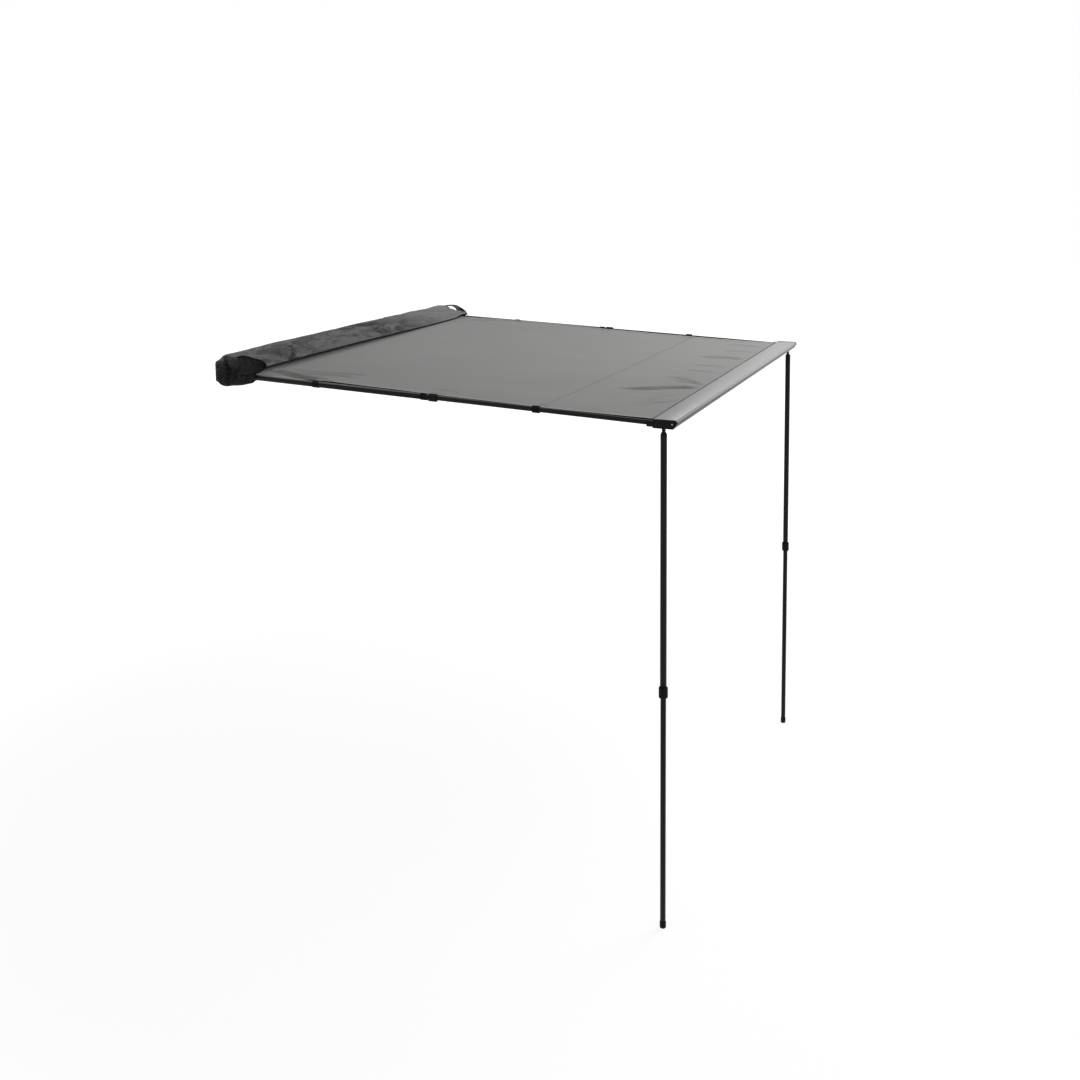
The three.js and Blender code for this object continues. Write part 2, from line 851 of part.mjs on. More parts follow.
function bagPiping() {
  const half = bag.length / 2 - bag.cloth - gap;
  const ringSides = 8;
  return loft(
    bagSections().map((s) => {
      const line = hoodLine(s);
      const [[x0, z0], [x1, z1]] = line.slice(-2);
      const out = new THREE.Vector2(x1 - x0, z1 - z0).setLength(gap + bag.pipingRadius);
      const points = Array.from({ length: ringSides }, (_, i) => {
        const turn = (2 * Math.PI * i) / ringSides;
        return [x1 + out.x + bag.pipingRadius * Math.cos(turn), z1 + out.y + bag.pipingRadius * Math.sin(turn)];
      });
      return { y: s * half, points };
    }),
  );
}

// Lead bar: an extrusion that is open below, so that the folded legs lie inside it

function barOutline() {
  const { height, topWidth, noseWidth, noseDrop, bottomWidth } = bar;
  return [
    [0, 0],
    [topWidth, 0],
    [noseWidth, -noseDrop],
    [bottomWidth, -height],
    [0, -height],
  ].map(([u, w]) => [barReach + u, bar.top + w]);
}

function leadBar() {
  const half = bar.length / 2 - bar.capPlate - gap;
  const through = (shape) => prism("y", shape, -half - overrun, half + overrun);
  const full = (shape) => prism("y", shape, -half, half);
  const outline = barOutline();
  const hollow = inset(outline, bar.wall);
  const [keder, boss] = [barKeder(), { x: barReach + bar.bossX, z: bar.top - bar.bossDrop }];
  const open = rectangle(barReach + bar.innerLip, hollow[3][0], bar.top - bar.height - overrun, hollow[3][1] + overrun);
  const rim = bar.kederRadius + bar.wall;
  const shell = cut(full(shapeOf(outline)), through(shapeOf(hollow)), through(open));
  const solid = join(
    shell,
    full(rectangle(barReach, keder.x + rim, keder.z - rim, bar.top)),
    rod("y", bar.bossRadius, -half, half, [boss.x, boss.z]),
  );
  const mouth = rectangle(barReach - overrun, keder.x, keder.z - bar.kederMouth / 2, keder.z + bar.kederMouth / 2);
  return cut(
    solid,
    through(mouth),
    rod("y", bar.kederRadius, -half - overrun, half + overrun, [keder.x, keder.z]),
    rod("y", bar.bossBore, -half - overrun, half + overrun, [boss.x, boss.z], 8),
  );
}

// end cap: a plate over the section, a hollow plug inside it and a cradle for the rafter's blade
function barCap(side) {
  const end = bar.length / 2;
  const plate = end - bar.capPlate;
  const { earReach, earTop, earBottom, cradleWall, capPlugWall, capPlugEnd } = bar;
  const hollow = inset(barOutline(), bar.wall + gap);
  const clearX = barKeder().x + bar.kederRadius + bar.wall + gap;
  const plugShape = (shrink) => {
    const lean = (hollow[2][0] - hollow[3][0]) / (hollow[2][1] - hollow[3][1]);
    const [high, low] = [hollow[0][1] - shrink, hollow[3][1] + shrink];
    const outer = barReach + capPlugEnd - shrink;
    const foot = hollow[3][0] - shrink;
    return shapeOf([
      [clearX + shrink, high],
      [outer, high],
      [outer, low + (outer - foot) / lean],
      [foot, low],
      [clearX + shrink, low],
    ]);
  };
  const ear = rectangle(barReach - earReach, barReach + earReach, bar.top - earBottom, bar.top - earTop, cradleWall);
  const plug = cut(
    prism("y", plugShape(0), side * (plate - bar.capPlug), side * (plate + overrun / 2)),
    prism("y", plugShape(capPlugWall), side * (plate - bar.capPlug - overrun), side * plate),
  );
  return join(
    prism("y", shapeOf(barOutline()), side * plate, side * end),
    prism("y", ear, side * plate, side * end),
    plug,
    cradle(side).applyMatrix4(rafterFrame(side).matrix),
  );
}

// open towards the middle of the awning, so that the rafter can swing in to fold
function cradle(side) {
  const slot = rafter.bladeThickness / 2 + freeGap;
  const high = slot + bar.cradleWall;
  const [from, to] = [rafter.innerEnd + rafter.tipShoulder + freeGap, (barReach - pivot.tiltX) / Math.cos(slope) - freeGap];
  const wallIn = rafter.bladeWidth / 2 + freeGap;
  const outer = bar.length / 2 - bar.capPlate / 2 - pivot.y;
  const block = prism("x", rectangle(-rafter.bladeWidth / 2, outer, from, to), -high, high);
  const socket = prism("x", rectangle(-rafter.bladeWidth, wallIn, from - overrun, to + overrun), -slot, slot);
  const made = cut(block, socket);
  return side > 0 ? made : made.rotateZ(Math.PI);
}

// Legs: local X is outwards, Y along the vehicle and Z down the leg, from the hinge pin

function legFrame(side) {
  const group = new THREE.Group();
  const out = side < 0 ? leg.near : leg.far;
  group.position.set(barReach + out, side * leg.y, bar.top - leg.pinDrop);
  group.rotation.x = Math.PI;
  return group;
}

// the stop web is on the outboard side, so the leg can only fold inwards
function legBracket(side) {
  const top = bar.wall + gap - leg.pinDrop;
  const slot = leg.tongueWidth / 2 + gap;
  const wide = slot + leg.cheek;
  const web = leg.tongueRadius + freeGap;
  const outboard = -side;
  const cheeks = prism("x", rectangle(-leg.bracketHalf, leg.bracketHalf, top, 0), -wide, wide);
  const round = rod("x", leg.cheekRadius, -wide, wide, [0, 0], roundSides);
  const ends = [outboard * web, -outboard * (leg.bracketHalf + overrun)];
  const mouth = rectangle(Math.min(...ends), Math.max(...ends), top + leg.baseThickness, leg.bracketHalf + overrun);
  return cut(
    join(cheeks, round),
    prism("x", mouth, -slot, slot),
    rod("x", leg.pinRadius + gap, -wide - overrun, wide + overrun),
  );
}

function legPin() {
  return pinOf(leg, "x", leg.tongueWidth / 2 + gap + leg.cheek, [0, 0]);
}

function legHead() {
  const start = leg.tubeStart;
  const bore = leg.outerRadius - leg.outerWall - gap;
  const profile = [
    [0, start - leg.shoulder],
    [leg.tongueRadius, start - leg.shoulder],
    [leg.outerRadius, start - gap],
    [leg.outerRadius, start],
    [bore, start],
    [bore, start + leg.plugLength],
    [0, start + leg.plugLength],
  ];
  const tongue = prism("x", lug(leg.tongueRadius, start), -leg.tongueWidth / 2, leg.tongueWidth / 2);
  return cut(join(turned("z", profile), tongue), rod("x", leg.pinRadius + gap, -leg.outerRadius, leg.outerRadius));
}

function footTop() {
  return mountHeight + bar.top - leg.pinDrop - leg.footHeight;
}

// foot cap: a cup on the lower tube, with a ring groove in its sole
function legFoot() {
  const [top, sole] = [footTop(), footTop() + leg.footHeight];
  const cup = leg.innerRadius + gap;
  const profile = [
    [0, sole - leg.footBase],
    [cup, sole - leg.footBase],
    [cup, top],
    [leg.footRadius - leg.footGroove / 2, top],
    [leg.footRadius, top + leg.footChamfer],
    [leg.footRadius, sole - leg.footChamfer],
    [leg.footRadius - leg.footChamfer, sole],
    [leg.footRadius / 2 + leg.footGroove, sole],
    [leg.footRadius / 2, sole - leg.footGroove],
    [leg.footRadius / 2 - leg.footGroove, sole],
    [0, sole],
  ];
  return turned("z", profile);
}

// The awning

const awning = new THREE.Group();

function add(parent, name, geometry, finish) {
  const material = new THREE.MeshStandardMaterial(finish);
  geometry.computeVertexNormals();
  const mesh = new THREE.Mesh(geometry, material);
  mesh.name = name;
  parent.add(mesh);
}

add(awning, "back_channel", backChannel(), finishes.silver);
add(awning, "bag", bagShell(), finishes.bagCloth);
add(awning, "bag_piping", bagPiping(), finishes.webbing);
add(awning, "canopy", canopySheet(), finishes.canopyCloth);
add(awning, "canopy_bead_back", kederBead(kederCentre()), finishes.webbing);
add(awning, "canopy_bead_front", kederBead(barKeder()), finishes.webbing);
add(awning, "lead_bar", leadBar(), finishes.silver);

for (const [end, side] of Object.entries(sides)) {
  add(awning, `end_casting_${end}`, endCasting(side), finishes.blackMetal);
  add(awning, `bar_cap_${end}`, barCap(side), finishes.blackPlastic);
  strapShares.forEach((share, i) => {
    add(awning, `strap_${end}_${i + 1}`, strapAt(side, share), finishes.webbing);
  });

  const arm = rafterFrame(side);
  awning.add(arm);
  add(arm, `swing_pin_${end}`, swingPin(), finishes.steel);
  add(arm, `knuckle_${end}`, knuckle(), finishes.blackMetal);
  add(arm, `tilt_pin_${end}`, tiltPin(), finishes.steel);
  add(arm, `rafter_fork_${end}`, rafterFork(), finishes.blackPlastic);
  add(arm, `rafter_outer_${end}`, outerTube(rafter), finishes.blackMetal);
  add(arm, `rafter_collet_${end}`, collet(rafter), finishes.blackPlastic);
  add(arm, `rafter_collar_${end}`, collar(rafter), finishes.blackPlastic);
  add(arm, `rafter_bush_${end}`, slideBush(rafter), finishes.blackPlastic);
  add(arm, `rafter_inner_${end}`, innerTube(rafter, rafter.innerEnd), finishes.blackMetal);
  add(arm, `rafter_tip_${end}`, rafterTip(), finishes.blackPlastic);

  const support = legFrame(side);
  awning.add(support);
  add(support, `leg_bracket_${end}`, legBracket(side), finishes.blackMetal);
  add(support, `leg_pin_${end}`, legPin(), finishes.steel);
  add(support, `leg_head_${end}`, legHead(), finishes.blackPlastic);
  add(support, `leg_upper_${end}`, outerTube(leg), finishes.blackMetal);
  add(support, `leg_collet_${end}`, collet(leg), finishes.blackPlastic);
  add(support, `leg_collar_${end}`, collar(leg), finishes.blackPlastic);
  add(support, `leg_bush_${end}`, slideBush(leg), finishes.blackPlastic);
  add(support, `leg_lower_${end}`, innerTube(leg, footTop() + leg.footHeight - leg.footBase - gap), finishes.blackMetal);
  add(support, `leg_foot_${end}`, legFoot(), finishes.blackPlastic);
}

export default awning;
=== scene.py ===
# %% [markdown]
# # Vehicle side awning
#
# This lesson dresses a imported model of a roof-rack awning: a storage bag along the vehicle, a cloth
# canopy, two telescopic rafters, a lead bar and two telescopic legs. The metal and moulded pieces come
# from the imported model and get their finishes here. The cloth pieces are built here over their plain
# solids, because folds, hems and stitching belong to a picture and not to a collision model.

# %% Loading the frame
import json
import math

import bmesh
import bpy
import numpy as np
from mathutils import Matrix, Vector, noise


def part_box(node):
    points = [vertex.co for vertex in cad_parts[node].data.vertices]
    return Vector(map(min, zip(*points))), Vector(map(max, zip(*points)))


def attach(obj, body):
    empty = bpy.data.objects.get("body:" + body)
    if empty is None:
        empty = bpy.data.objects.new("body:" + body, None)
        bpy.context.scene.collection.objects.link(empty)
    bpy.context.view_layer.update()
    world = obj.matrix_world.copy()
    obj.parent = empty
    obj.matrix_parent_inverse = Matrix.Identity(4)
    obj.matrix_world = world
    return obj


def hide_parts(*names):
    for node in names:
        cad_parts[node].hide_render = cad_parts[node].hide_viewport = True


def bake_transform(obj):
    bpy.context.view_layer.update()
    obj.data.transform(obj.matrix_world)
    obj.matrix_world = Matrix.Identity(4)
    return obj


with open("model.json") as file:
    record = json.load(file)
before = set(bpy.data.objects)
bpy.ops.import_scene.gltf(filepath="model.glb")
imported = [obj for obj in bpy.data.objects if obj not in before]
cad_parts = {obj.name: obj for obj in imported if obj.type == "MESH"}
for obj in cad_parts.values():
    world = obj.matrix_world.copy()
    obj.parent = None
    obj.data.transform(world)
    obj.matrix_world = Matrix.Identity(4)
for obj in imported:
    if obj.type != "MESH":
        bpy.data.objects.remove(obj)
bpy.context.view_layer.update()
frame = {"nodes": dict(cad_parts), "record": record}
scene = bpy.context.scene
SIDES = {"near": -1, "far": 1}

# %% [markdown]
# ## Places taken from the frame
#
# Everything hangs on a few places: where the canopy starts and ends, the tilt pin on which canopy and
# rafters pitch, and the slope of the rafters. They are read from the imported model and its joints, so
# the cloth follows if the model changes.

# %% Places taken from the frame
joints = {row["name"]: row for row in frame["record"]["behaviour"]["joints"]}
TILT = Vector(joints["canopy_pitch"]["pos_m"])
SLOPE = math.asin(joints["bar_slide"]["axis"][2])


def corners(node):
    return tuple(Vector(corner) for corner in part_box(node))


def middle_of(node):
    low, high = corners(node)
    return (low + high) / 2


CANOPY_START = corners("canopy")[0].x
CANOPY_END = corners("canopy")[1].x
CANOPY_HALF = corners("canopy")[1].y
BAG_HALF = corners("bag")[1].y
RAFTER_Y = middle_of("rafter_outer_far").y
FLOOR = corners("leg_foot_near")[0].z
print("canopy x", round(CANOPY_START, 4), round(CANOPY_END, 4), "half", round(CANOPY_HALF, 4))
print("slope", round(math.degrees(SLOPE), 2), "rafter y", round(RAFTER_Y, 4), "bag half", round(BAG_HALF, 4))

# %% [markdown]
# ## Camera
#
# The picture was taken from the open corner of the awning, slightly above the cloth, by a level camera
# whose frame was cropped. A cropped frame is a shifted lens: the horizon stays where it was and the
# upright legs stay upright. The values come from lines of the object that are straight and whose
# lengths are known: the legs, the bar and both edges of the cloth.

# %% Camera
PHOTO_SIZE = 1080
FOCAL_PX = 1297.9
CENTRE_PX = (540.0, 300.0)
SENSOR = 36
YAW, PITCH, ROLL = math.radians(23.153), math.radians(6.682), math.radians(-0.532)
EYE = Vector((3.5933, -5.7688, 0.9802))


def camera():
    forward = Vector((-math.sin(YAW) * math.cos(PITCH), math.cos(YAW) * math.cos(PITCH), -math.sin(PITCH)))
    level = Vector((math.cos(YAW), math.sin(YAW), 0))
    upright = level.cross(forward)
    right = level * math.cos(ROLL) + upright * math.sin(ROLL)
    up = upright * math.cos(ROLL) - level * math.sin(ROLL)
    data = bpy.data.cameras.new("camera")
    data.sensor_width = SENSOR
    data.lens = FOCAL_PX / PHOTO_SIZE * SENSOR
    data.shift_x = 0.5 - CENTRE_PX[0] / PHOTO_SIZE
    data.shift_y = CENTRE_PX[1] / PHOTO_SIZE - 0.5
    data.clip_end = 200
    obj = bpy.data.objects.new("camera", data)
    turn = Matrix((right, up, -forward)).transposed().to_4x4()
    obj.matrix_world = Matrix.Translation(EYE) @ turn
    scene.collection.objects.link(obj)
    scene.camera = obj
    return data


print("lens", round(camera().lens, 2), "mm")

# %% [markdown]
# ## Shader sums
#
# A material is a sum of masks and noises. Node by node that is hard to read, so a socket is wrapped in
# a class whose operators add the Math nodes: `1 - mask * 0.4` then reads like any other expression.
# Every other node comes from one method, which sets its settings first and then plugs its sockets.

# %% Shader sums
class Value:
    """A socket of a node tree that takes part in sums as a number does."""

    def __init__(self, nodes, socket):
        self.nodes, self.socket = nodes, socket

    def sum(self, operation, *items, **settings):
        return self.nodes.node("ShaderNodeMath", enumerate(items), operation=operation, **settings)

    def __add__(self, other):
        return self.sum("ADD", self, other)

    def __sub__(self, other):
        return self.sum("SUBTRACT", self, other)

    def __rsub__(self, other):
        return self.sum("SUBTRACT", other, self)

    def __mul__(self, other):
        return self.sum("MULTIPLY", self, other)

    __radd__ = __add__

    def abs(self):
        return self.sum("ABSOLUTE", self)

    def sin(self):
        return self.sum("SINE", self)

    def high(self, other):
        return self.sum("MAXIMUM", self, other)

    def clamp(self):
        return self.sum("ADD", self, 0.0, use_clamp=True)

    def step(self, start, end):
        """0 up to start, 1 from end on and a smooth rise between."""
        sockets = {"Value": self, "From Min": start, "From Max": end}
        return self.nodes.node("ShaderNodeMapRange", sockets.items(), interpolation_type="SMOOTHSTEP")

    def band(self, centre, half, soft):
        """1 within half of centre, fading to 0 over soft."""
        return 1 - (self - centre).abs().step(half, half + soft)


class Nodes:
    """A node tree, with one way to add a node."""

    def __init__(self, tree):
        self.tree = tree

    def node(self, kind, sockets=(), out=0, **settings):
        made = self.tree.nodes.new(kind)
        for key, setting in settings.items():
            setattr(made, key, setting)
        for key, item in sockets:
            self.plug(made.inputs[key], item)
        return Value(self, made.outputs[out])

    def plug(self, socket, item):
        if isinstance(item, Value):
            self.tree.links.new(item.socket, socket)
        else:
            socket.default_value = item


class Finish(Nodes):
    """A material of the awning: a principled shader and the object's own coordinates."""

    def __init__(self, name):
        self.material = bpy.data.materials.new(name)
        self.material.use_nodes = True
        super().__init__(self.material.node_tree)
        self.shader = self.tree.nodes["Principled BSDF"]
        self.place = self.node("ShaderNodeTexCoord", out="Object")
        split = self.node("ShaderNodeSeparateXYZ", [(0, self.place)]).socket.node
        self.x, self.y, self.z = (Value(self, out) for out in split.outputs)

    def noise(self, scale, detail, rough, stretch=(1, 1, 1), bend=0.0):
        sockets = {
            "Vector": self.node("ShaderNodeMapping", [("Vector", self.place), ("Scale", stretch)]),
            "Scale": scale,
            "Detail": detail,
            "Roughness": rough,
            "Distortion": bend,
        }
        return self.node("ShaderNodeTexNoise", sockets.items(), out="Fac")

    def cells(self, scale):
        return self.node("ShaderNodeTexVoronoi", [("Vector", self.place), ("Scale", scale)], out="Distance")

    def mix(self, share, first, second):
        colours = [item if isinstance(item, Value) else (*item, 1) for item in (first, second)]
        sockets = [("Factor", share), (6, colours[0]), (7, colours[1])]
        return self.node("ShaderNodeMix", sockets, out=2, data_type="RGBA")

    def tone(self, colour, share, depth):
        """colour darkened by depth at share 0 and lightened by it at share 1."""
        return self.mix(share, [c * (1 - depth) for c in colour], [c * (1 + depth) for c in colour])

    def bump(self, height, strength, distance):
        sockets = {"Strength": strength, "Distance": distance, "Height": height}
        self.plug(self.shader.inputs["Normal"], self.node("ShaderNodeBump", sockets.items()))

    def set(self, **sockets):
        """Sockets by name, with an underscore for each space."""
        for key, item in sockets.items():
            item = (*item, 1) if isinstance(item, tuple) else item
            self.plug(self.shader.inputs[key.replace("_", " ")], item)
        return self.material


print("shader maths ready")

# %% [markdown]
# ## Studio
#
# The object stands in a white studio. If the walls were lit until they clip, they would also flood the
# object, so the white is painted instead: camera, mirror and see-through rays get plain white, while the
# light that falls on the object comes from a dimmer sky and three soft lamps. The key lamp hangs over
# the lead bar, which is why the cloth is lighter there than at the bag. The back lamp lights the bag's
# far end and the low one the legs.

# %% Studio
SKY_LIGHT = 0.44
WHITE = (1, 1, 1, 1)
# each lamp's place, the point it aims at, its size and its power in watts
LAMPS = {
    "key": ((3.2, 1.6, 1.8), (1.85, 0.4, -0.1), (2.0, 2.0), 60),
    "back": ((-2.6, 3.4, 3.4), (0.4, 0.9, 0), (2.4, 2.4), 30),
    "low": ((6.2, -4.5, -0.6), (2.0, 0, -1.1), (2.0, 3.0), 12),
}


def seen(nodes):
    """1 for a ray that looks at a surface, 0 for one that carries light to it."""
    path = nodes.node("ShaderNodeLightPath").socket.node
    looks = [Value(nodes, path.outputs[f"Is {kind} Ray"]) for kind in ("Camera", "Glossy", "Transmission")]
    return looks[0].high(looks[1]).high(looks[2])


def sky():
    world = bpy.data.worlds.new("studio")
    scene.world = world
    world.use_nodes = True
    nodes = Nodes(world.node_tree)
    background = world.node_tree.nodes["Background"]
    background.inputs["Color"].default_value = WHITE
    nodes.plug(background.inputs["Strength"], seen(nodes) * (1 - SKY_LIGHT) + SKY_LIGHT)


def lamp(name, place, aim, size, power):
    data = bpy.data.lights.new(name, "AREA")
    data.shape = "RECTANGLE"
    data.size, data.size_y = size
    data.energy = power
    obj = bpy.data.objects.new(name, data)
    obj.location = place
    obj.rotation_euler = (Vector(aim) - Vector(place)).to_track_quat("-Z", "Y").to_euler()
    scene.collection.objects.link(obj)


scene.view_settings.view_transform = "Standard"
sky()
for name, (place, aim, size, power) in LAMPS.items():
    lamp(name, place, aim, size, power)

# %% [markdown]
# ## Floor
#
# A plain pale floor under the feet. Near the object part of it is a matt surface that takes the shadow,
# and further out it turns into the painted white of the walls, so no horizon line cuts the picture. The
# matt part looks pale to the camera but sends little light back up, or it would brighten the object.

# %% Floor
FLOOR_REACH = 30
FLOOR_MIDDLE = 1.1
FLOOR_GAP = 0.0002
SHADOW_REACH = (2.2, 5.0)
# share of painted white near the object, and its strength
PAINTED, GLOW = 0.68, 1.2
PALE_SEEN, PALE_BOUNCED = 0.94, 0.5


def floor():
    mesh = bpy.data.meshes.new("floor")
    bm = bmesh.new()
    lay = Matrix.Translation((FLOOR_MIDDLE, 0, FLOOR - FLOOR_GAP))
    bmesh.ops.create_grid(bm, x_segments=1, y_segments=1, size=FLOOR_REACH, matrix=lay)
    bm.to_mesh(mesh)
    bm.free()
    obj = bpy.data.objects.new("floor", mesh)
    scene.collection.objects.link(obj)
    paint = Finish("floor")
    paint.set(Base_Color=seen(paint) * (PALE_SEEN - PALE_BOUNCED) + PALE_BOUNCED, Roughness=0.8)
    out = paint.x - FLOOR_MIDDLE
    near, far = (reach ** 2 for reach in SHADOW_REACH)
    away = (out * out + paint.y * paint.y).step(near, far)
    white = paint.node("ShaderNodeEmission", [("Color", WHITE), ("Strength", GLOW)])
    share = seen(paint) * (away * (1 - PAINTED) + PAINTED)
    matt = Value(paint, paint.shader.outputs[0])
    both = paint.node("ShaderNodeMixShader", [(0, share), (1, matt), (2, white)])
    paint.plug(paint.tree.nodes["Material Output"].inputs["Surface"], both)
    mesh.materials.append(paint.material)


floor()
print("floor at", round(FLOOR, 4))

# %% [markdown]
# ## Anodised aluminium
#
# The lead bar and the back channel are extrusions. The die leaves fine lines along their length, the
# anodising gives a soft satin bloom, and handling leaves a few dull scuffs. Lines are a noise stretched
# along the bar; bloom and scuffs are plain noises at larger scales. Noise needs no image and no
# unwrapping. The face under the bar's nose turns down, away from the light, and is painted dark as
# painted shade.

# %% Anodised aluminium
NOSE = corners("lead_bar")[1].z - 0.011
ALUMINIUM = (0.3, 0.3, 0.3)
ALUMINIUM_PAINTED_SHADE = (0.06, 0.06, 0.06)


def anodised():
    finish = Finish("anodised")
    lines = finish.noise(1500, 3, 0.6, (1, 0.01, 1))
    bloom = finish.noise(3.0, 3, 0.55)
    scuff = finish.noise(55, 4, 0.7, (1, 0.15, 1)).step(0.64, 0.8)
    share = (lines * 0.5 + bloom * 0.5).clamp()
    # painted shade: below its nose the bar's colour is painted dark where it faces down
    under = finish.x.step(CANOPY_END, CANOPY_END + 0.002) * (1 - finish.z.step(NOSE + 0.001, NOSE + 0.003))
    finish.bump(lines * 0.3 + scuff * 0.25, 0.25, 0.0002)
    return finish.set(
        Base_Color=finish.mix(under, finish.tone(ALUMINIUM, share, 0.14), ALUMINIUM_PAINTED_SHADE),
        Roughness=0.34 + lines * 0.1 + scuff * 0.14 + bloom * 0.06,
        Metallic=0.5,
        Specular_IOR_Level=0.2,
    )


FINISHES = {"anodised": anodised()}
print("anodised finish", len(FINISHES["anodised"].node_tree.nodes), "nodes")

# %% [markdown]
# ## Black powder coat
#
# Rafters, legs and castings are coated black: satin, with the fine orange peel of powder, and rubbed a
# little along the tubes where they slide. The coat's gloss is kept low, because the tubes read as
# nearly black in daylight. Near its top each rafter has a painted highlight: a pale line that is a band
# of heights over the rafter's sloping axis and fades towards the bar.

# %% Black powder coat
COAT = (0.0095, 0.0097, 0.0103)
PAINTED_HIGHLIGHT_PALE = (0.15, 0.148, 0.132)
HIGHLIGHT_FOOT, HIGHLIGHT_TOP = (0.008, 0.0095), (0.0135, 0.0145)


def powder_coat():
    finish = Finish("black_metal")
    peel = finish.noise(850, 2, 0.5)
    cloud = finish.noise(8, 3, 0.6)
    rubbed_and_lit = finish.noise(40, 4, 0.7, (0.1, 1, 0.08)).step(0.6, 0.8)
    # painted highlight: a pale line along each rafter's top, where the tube catches the light
    axis = (finish.x - TILT.x) * -math.tan(SLOPE) + TILT.z
    above = finish.z - axis
    line = above.step(*HIGHLIGHT_FOOT) * (1 - above.step(*HIGHLIGHT_TOP))
    line = line * finish.x.step(0.2, 0.24) * (1 - finish.x.step(0.75, 1.5) * 0.7)
    finish.bump(peel, 0.16, 0.0002)
    share = (cloud * 0.65 + rubbed_and_lit * 0.5).clamp()
    black = finish.tone(COAT, share, 0.5)
    return finish.set(
        Base_Color=finish.mix(line * (0.75 + cloud * 0.25), black, PAINTED_HIGHLIGHT_PALE),
        Roughness=0.42 + cloud * 0.12 - rubbed_and_lit * 0.08,
        Specular_IOR_Level=0.14,
    )


FINISHES["black_metal"] = powder_coat()
print("powder coat", len(FINISHES["black_metal"].node_tree.nodes), "nodes")

# %% [markdown]
# ## Moulded nylon and plated steel
#
# End caps, collars and feet are glass-filled nylon with a spark-eroded grain; cells and noise together
# give that grain, where noise alone would be too soft. Pins and screws are zinc plated, slightly cloudy.

# %% Moulded nylon and plated steel
NYLON = (0.0085, 0.0085, 0.0091)
ZINC = (0.47, 0.47, 0.48)


def moulded():
    finish = Finish("black_plastic")
    grain = finish.cells(2400) * 0.6 + finish.noise(1400, 3, 0.6) * 0.4
    cloud = finish.noise(13, 3, 0.6)
    worn = finish.noise(90, 4, 0.7).step(0.62, 0.8)
    finish.bump(grain, 0.3, 0.0002)
    return finish.set(
        Base_Color=finish.tone(NYLON, (cloud * 0.7 + worn * 0.4).clamp(), 0.4),
        Roughness=0.54 + cloud * 0.12 - grain * 0.05,
        Specular_IOR_Level=0.11,
    )


def plated():
    finish = Finish("steel")
    cloud = finish.noise(80, 3, 0.6)
    finish.bump(finish.noise(1200, 2, 0.5), 0.12, 0.0001)
    return finish.set(
        Base_Color=finish.tone(ZINC, cloud, 0.15),
        Roughness=0.28 + cloud * 0.12,
        Metallic=0.95,
    )


FINISHES.update(black_plastic=moulded(), steel=plated())
print("hard finishes", sorted(FINISHES))

# %% [markdown]
# ## Canopy cloth
#
# The canopy is a coated canvas: a plain weave under a grey coating that has gone cloudy in use. Along
# both sides runs a folded hem, a felled seam crosses the cloth a quarter of the way back from the bar,
# and small patches strengthen it where the straps pull. A black band at the bar is painted shade, the
# shadow of the gap where the cloth goes into the bar.
# Seams and patches are masks on the object's own coordinates, so they stay where the pattern cutter
# put them. Towards the near corner at the bag the cloth is painted a little darker, as painted shade.

# %% Canopy cloth
SEAM_X = CANOPY_END - 0.4786
SEAM_SLANT = 0.0115
SEAM_HALF = 0.0075
HEM = 0.026
BAR_SHADE_BAND = 0.0175
PATCH_HALF = (0.03, 0.032)
PATCHES = [(x, side) for side in (1, -1) for x in (0.56, 1.088, 1.566)]
STITCH = 0.0034
CLOTH_GREY = (0.246, 0.246, 0.242)
DARK_GREY = (0.11, 0.11, 0.107)
HEM_GREY = (0.48, 0.48, 0.47)
BAR_SHADE_BLACK = (0.03, 0.03, 0.032)


def stitches(across, along, centre):
    """Thread dips on a line: across is measured over the seam and along runs with it."""
    return across.band(centre, 0.0006, 0.0005) * (along * (2 * math.pi / STITCH)).sin().step(-0.35, 0.1)


